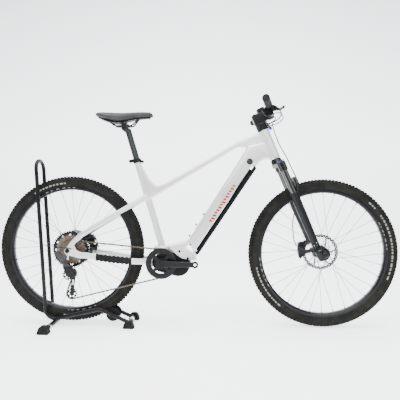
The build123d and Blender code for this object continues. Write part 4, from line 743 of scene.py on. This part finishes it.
def saddle_ring(half_width, top, low):
    """One crowned section, counter-clockwise from the left side; the sides pull in underneath."""
    ring = []
    widest = low + WIDEST_SHARE * (top - low)
    for k in range(SADDLE_AROUND):
        turn = 2 * math.pi * k / SADDLE_AROUND
        c, s = math.cos(turn), math.sin(turn)
        y = half_width * math.copysign(abs(c) ** 0.82, c)
        if s >= 0:
            z = widest + (top - widest) * abs(s) ** 0.88
            z -= GROOVE_DEPTH * math.exp(-(y / GROOVE_SPREAD) ** 2) * min(1, half_width / 40)
        else:
            z = widest - (widest - low + 0.8) * abs(s) ** 0.7
            y *= 1 - 0.16 * abs(s)
        off_seam = (abs(math.atan2(s, abs(c))) - SEAM_TURN) / SEAM_SPREAD
        seam = math.exp(-off_seam ** 2) if s > 0 else 0
        ring.append((y * (1 - 0.018 * seam), z - SEAM_DEPTH * seam))
    return ring


def between(a, b, c, d, t):
    """A smooth curve's value at t on the way from b to c, with a before them and d after."""
    return 0.5 * (2 * b + (c - a) * t + (2 * a - 5 * b + 4 * c - d) * t * t
                  + (3 * b - a - 3 * c + d) * t ** 3)


def saddle_mesh():
    """The sections joined from tail to nose, closed at both ends and rounded once."""
    bm = bmesh.new()
    rings = []
    for index in range(len(SADDLE) - 1):
        for step in range(SADDLE_STEPS + (1 if index == len(SADDLE) - 2 else 0)):
            t = step / SADDLE_STEPS
            before = SADDLE[max(0, index - 1)]
            first, second = SADDLE[index], SADDLE[index + 1]
            after = SADDLE[min(len(SADDLE) - 1, index + 2)]
            x, half_width, top, low = (between(*four, t) for four in zip(before, first, second, after))
            rings.append([bm.verts.new(back(x, y, z)) for y, z in saddle_ring(half_width, top, low)])
    for first, second in zip(rings, rings[1:]):
        for k in range(SADDLE_AROUND):
            n = (k + 1) % SADDLE_AROUND
            bm.faces.new((first[k], first[n], second[n], second[k]))
    bm.faces.new(list(reversed(rings[0])))
    bm.faces.new(rings[-1])
    bmesh.ops.recalc_face_normals(bm, faces=bm.faces)
    holder = bpy.data.objects.new("saddle_holder", from_bmesh("saddle_raw", bm))
    scene.collection.objects.link(holder)
    subdivision = holder.modifiers.new("rounder", "SUBSURF")
    subdivision.levels = 1
    subdivision.render_levels = 1
    mesh = baked(holder)
    bpy.data.objects.remove(holder)
    return mesh


saddle_pad = add_piece("saddle_pad", saddle_mesh(), saddle_skin, "saddle", ["saddle_cover"])

# ---------------------------------------------------------------- front brake hose
HOSE_R = 2.7 * MM
FRONT_HOSE = ((58, 12, 178), (51, 12, 140), (48, 12, 96), (47, 11, 52), (54, 10, 6), (57, 10, -34),
              (57.4, 10, -72), (60, 10, -112), (61.2, 10, -130.6), (60, 32, -148), (52, 62, -176),
              (30, 90, -230), (-2, 94, -290), (-38, 86, -345), (-56, 66, -392), (-69, 55, -424),
              (-66, 54, -452))


def hose_mesh(name, places):
    """A round hose along one smooth curve through the route's control points."""
    curve = bpy.data.curves.new(name, "CURVE")
    curve.dimensions = "3D"
    spline = curve.splines.new("NURBS")
    spline.points.add(len(places) - 1)
    for point, place in zip(spline.points, places):
        point.co = (*steer(*place), 1)
    spline.order_u = 3
    spline.use_endpoint_u = True
    curve.resolution_u = 12
    curve.bevel_depth = HOSE_R
    curve.bevel_resolution = 4
    curve.use_fill_caps = True
    holder = bpy.data.objects.new(name + "_holder", curve)
    scene.collection.objects.link(holder)
    mesh = baked(holder)
    bpy.data.objects.remove(holder)
    return mesh


front_hose = add_piece("front_brake_hose", hose_mesh("front_brake_hose", FRONT_HOSE), hose_rubber, None,
                       ["front_hose_upper", "front_hose_lower"])
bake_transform(front_hose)


# ---------------------------------------------------------------- printed marks, plain bars only
PRINT_SUNK = 0.0004         # how far a patch reaches into what it is printed on
DASH_LENGTHS = (1.2, 3.2)   # shortest and longest, in degrees of the wheel
DASH_GAP = 0.4              # the least gap, in the same degrees
TYRE_BAR_TURN = 106         # the inner edge of a tyre's bar, in degrees from the crown
TYRE_BAR_WIDTH = 16
RIM_BAR_Y = 0.0176
RIM_BAR_R = 0.3105          # the inner edge of a rim's bar
RIM_BAR_WIDTH = 0.0035


def printed(name, patches, finish, body, thickness=0.0003):
    """Thin raised patches; each is four corners, counter-clockwise seen from outside."""
    bm = bmesh.new()
    for corners in patches:
        normal = (corners[1] - corners[0]).cross(corners[2] - corners[0]).normalized()
        low = [bm.verts.new(corner - normal * PRINT_SUNK) for corner in corners]
        high = [bm.verts.new(corner + normal * thickness) for corner in corners]
        bm.faces.new(high)
        bm.faces.new(list(reversed(low)))
        for k in range(len(corners)):
            n = (k + 1) % len(corners)
            bm.faces.new((low[k], low[n], high[n], high[k]))
    add_piece(name, from_bmesh(name, bm), finish, body, smooth=False)


def arc_patches(centre, start, end, ring, gap_share):
    """A broken bar on both sides of a wheel; ring(lift) gives half-width and radius, lift 0 to 1."""
    patches = []
    angle = start
    while angle < end:
        length = random.uniform(*DASH_LENGTHS)
        for side in (-1, 1):
            corners = []
            for turn, lift in ((angle, 0), (angle + length, 0), (angle + length, 1), (angle, 1)):
                y, radius = ring(lift)
                corners.append(wheel_point(centre, math.radians(turn), side * y, radius))
            patches.append(corners if side > 0 else list(reversed(corners)))
        angle += length * (1 + gap_share) + DASH_GAP
    return patches


def sidewall_ring(lift):
    """Just outside the tyre's side, where its bars lie."""
    y, radius = casing_point(math.radians(TYRE_BAR_TURN - TYRE_BAR_WIDTH * lift))
    return y + 0.0002, radius


def rim_ring(lift):
    """Just outside the rim's side."""
    return RIM_BAR_Y, RIM_BAR_R + RIM_BAR_WIDTH * lift


def add_wheel_bars(kind, ring, gap_share, arcs_by_wheel):
    """The bars of one kind on both wheels; arcs are in degrees, from the front of the wheel upwards."""
    for name, centre, body, arcs in arcs_by_wheel:
        patches = [patch for start, end in arcs for patch in arc_patches(centre, start, end, ring, gap_share)]
        printed(name + kind, patches, pale_print, body)


add_wheel_bars("_tyre_bars", sidewall_ring, 0.35, (
    ("front", FRONT, "front_wheel", ((192, 232), (42, 50), (-22, 34))),
    ("rear", REAR, "rear_wheel", ((94, 122), (263, 286)))))
add_wheel_bars("_rim_bars", rim_ring, 0.9, (
    ("front", FRONT, "front_wheel", ((4, 30), (184, 210))),
    ("rear", REAR, "rear_wheel", ((86, 114), (266, 294)))))

DOWN_LOW = back(641, 0, 357)
DOWN_ALONG = Vector((0.5571, 0, 0.8304))
DOWN_OUT = Vector((0.8304, 0, -0.5571))
# the bars on the down tube, in millimetres
BARS_FIRST, BARS_LAST = 176, 395   # up the tube from DOWN_LOW
BAR_PITCH = 16
BAR_WIDTH = 9
BAR_SLANT = 5
BAR_OUT = -50               # where each stroke starts, out from the tube's line
BAR_Y = 31.1
BAR_LENGTHS = (12, 16, 20)


def down(along, out, y):
    """A point by millimetres from DOWN_LOW: up along the down tube, out to its lower side, and left."""
    return DOWN_LOW + DOWN_ALONG * (along * MM) + DOWN_OUT * (out * MM) + Vector((0, y * MM, 0))


def slanted_bars():
    """A row of slanted strokes along each side of the down tube."""
    patches = []
    for along in range(BARS_FIRST, BARS_LAST, BAR_PITCH):
        length = random.choice(BAR_LENGTHS)
        for side in (-1, 1):
            y = side * BAR_Y
            corners = [down(along, BAR_OUT, y), down(along + BAR_WIDTH, BAR_OUT, y),
                       down(along + BAR_WIDTH + BAR_SLANT, BAR_OUT + length, y),
                       down(along + BAR_SLANT, BAR_OUT + length, y)]
            patches.append(corners if side > 0 else list(reversed(corners)))
    return patches


printed("down_tube_bars", slanted_bars(), red_print, "bike_frame", thickness=0.0006)


# ---------------------------------------------------------------- floor, backdrop and lights
def paper_with_painted_glow():
    """Pale paper with a painted glow of its own that stands in for the studio light on it, painted weaker
    towards the top of the wall as shade.
    """
    s = Shader("paper_with_painted_glow")
    s.link(s.ramp(s.noise(1.5), (0.89, 0.90, 0.92), (0.91, 0.92, 0.94)), s.shader.inputs["Base Color"])
    s.shader.inputs["Roughness"].default_value = 0.8
    s.bump(s.noise(60), 0.05 * MM)
    split = s.add("ShaderNodeSeparateXYZ")
    s.link(s.place, split.inputs["Vector"])
    # painted light: the paper's glow stands in for lamp light, and it fades with height as painted shade
    # towards the top of the wall
    painted_glow_falloff = s.add("ShaderNodeMapRange")
    for socket, value in (("From Min", 1.0), ("From Max", 2.9), ("To Min", 1.75), ("To Max", 0.7)):
        painted_glow_falloff.inputs[socket].default_value = value
    s.link(split.outputs["Z"], painted_glow_falloff.inputs["Value"])
    s.link(painted_glow_falloff.outputs["Result"], s.shader.inputs["Emission Strength"])
    s.shader.inputs["Emission Color"].default_value = (0.95, 0.985, 1, 1)
    return s.material


def make_stage():
    """A pale floor that curves up into a wall behind the bike."""
    rows = []
    wall, bend, depth, top, half_width = 2.9, 1.2, 2.4, 6.0, 7
    for share in range(3):
        rows.append((-depth + share * (depth + wall - bend) / 2, 0.0))
    for step in range(1, 13):
        angle = math.pi / 2 * step / 12
        rows.append((wall - bend + bend * math.sin(angle), bend - bend * math.cos(angle)))
    rows.append((wall, top))
    bm = bmesh.new()
    strips = [[bm.verts.new((x, y, z)) for x in (-half_width, half_width)] for y, z in rows]
    for first, second in zip(strips, strips[1:]):
        bm.faces.new((first[0], first[1], second[1], second[0]))
    mesh = from_bmesh("studio_sweep", bm)
    mesh.materials.append(paper_with_painted_glow())
    mesh.polygons.foreach_set("use_smooth", [True] * len(mesh.polygons))
    sweep = bpy.data.objects.new("studio_sweep", mesh)
    scene.collection.objects.link(sweep)


def area_light(name, place, aim, size, power, colour=(1, 1, 1)):
    """A soft rectangular lamp at a place, turned to what it lights."""
    data = bpy.data.lights.new(name, "AREA")
    data.shape = "RECTANGLE"
    data.size, data.size_y = size
    data.energy = power
    data.color = colour
    lamp = bpy.data.objects.new(name, data)
    scene.collection.objects.link(lamp)
    lamp.location = place
    lamp.rotation_euler = (Vector(aim) - Vector(place)).to_track_quat("-Z", "Y").to_euler()


make_stage()
area_light("key", (-1.6, -2.6, 3.0), (0, 0, 0.4), (2.4, 1.6), 80)
area_light("fill", (2.6, -2.2, 2.2), (0, 0, 0.5), (2.0, 2.0), 40, (0.95, 0.98, 1))
area_light("front", (0.3, -3.4, 2.0), (0.3, 0, 0.95), (3.0, 1.0), 70)
area_light("overhead", (0, -0.2, 3.4), (0, 0.2, 0), (4.0, 2.5), 300)
world = bpy.data.worlds.new("studio")
scene.world = world
world.use_nodes = True
world.node_tree.nodes["Background"].inputs["Color"].default_value = (0.93, 0.96, 1.0, 1)
world.node_tree.nodes["Background"].inputs["Strength"].default_value = 0.5
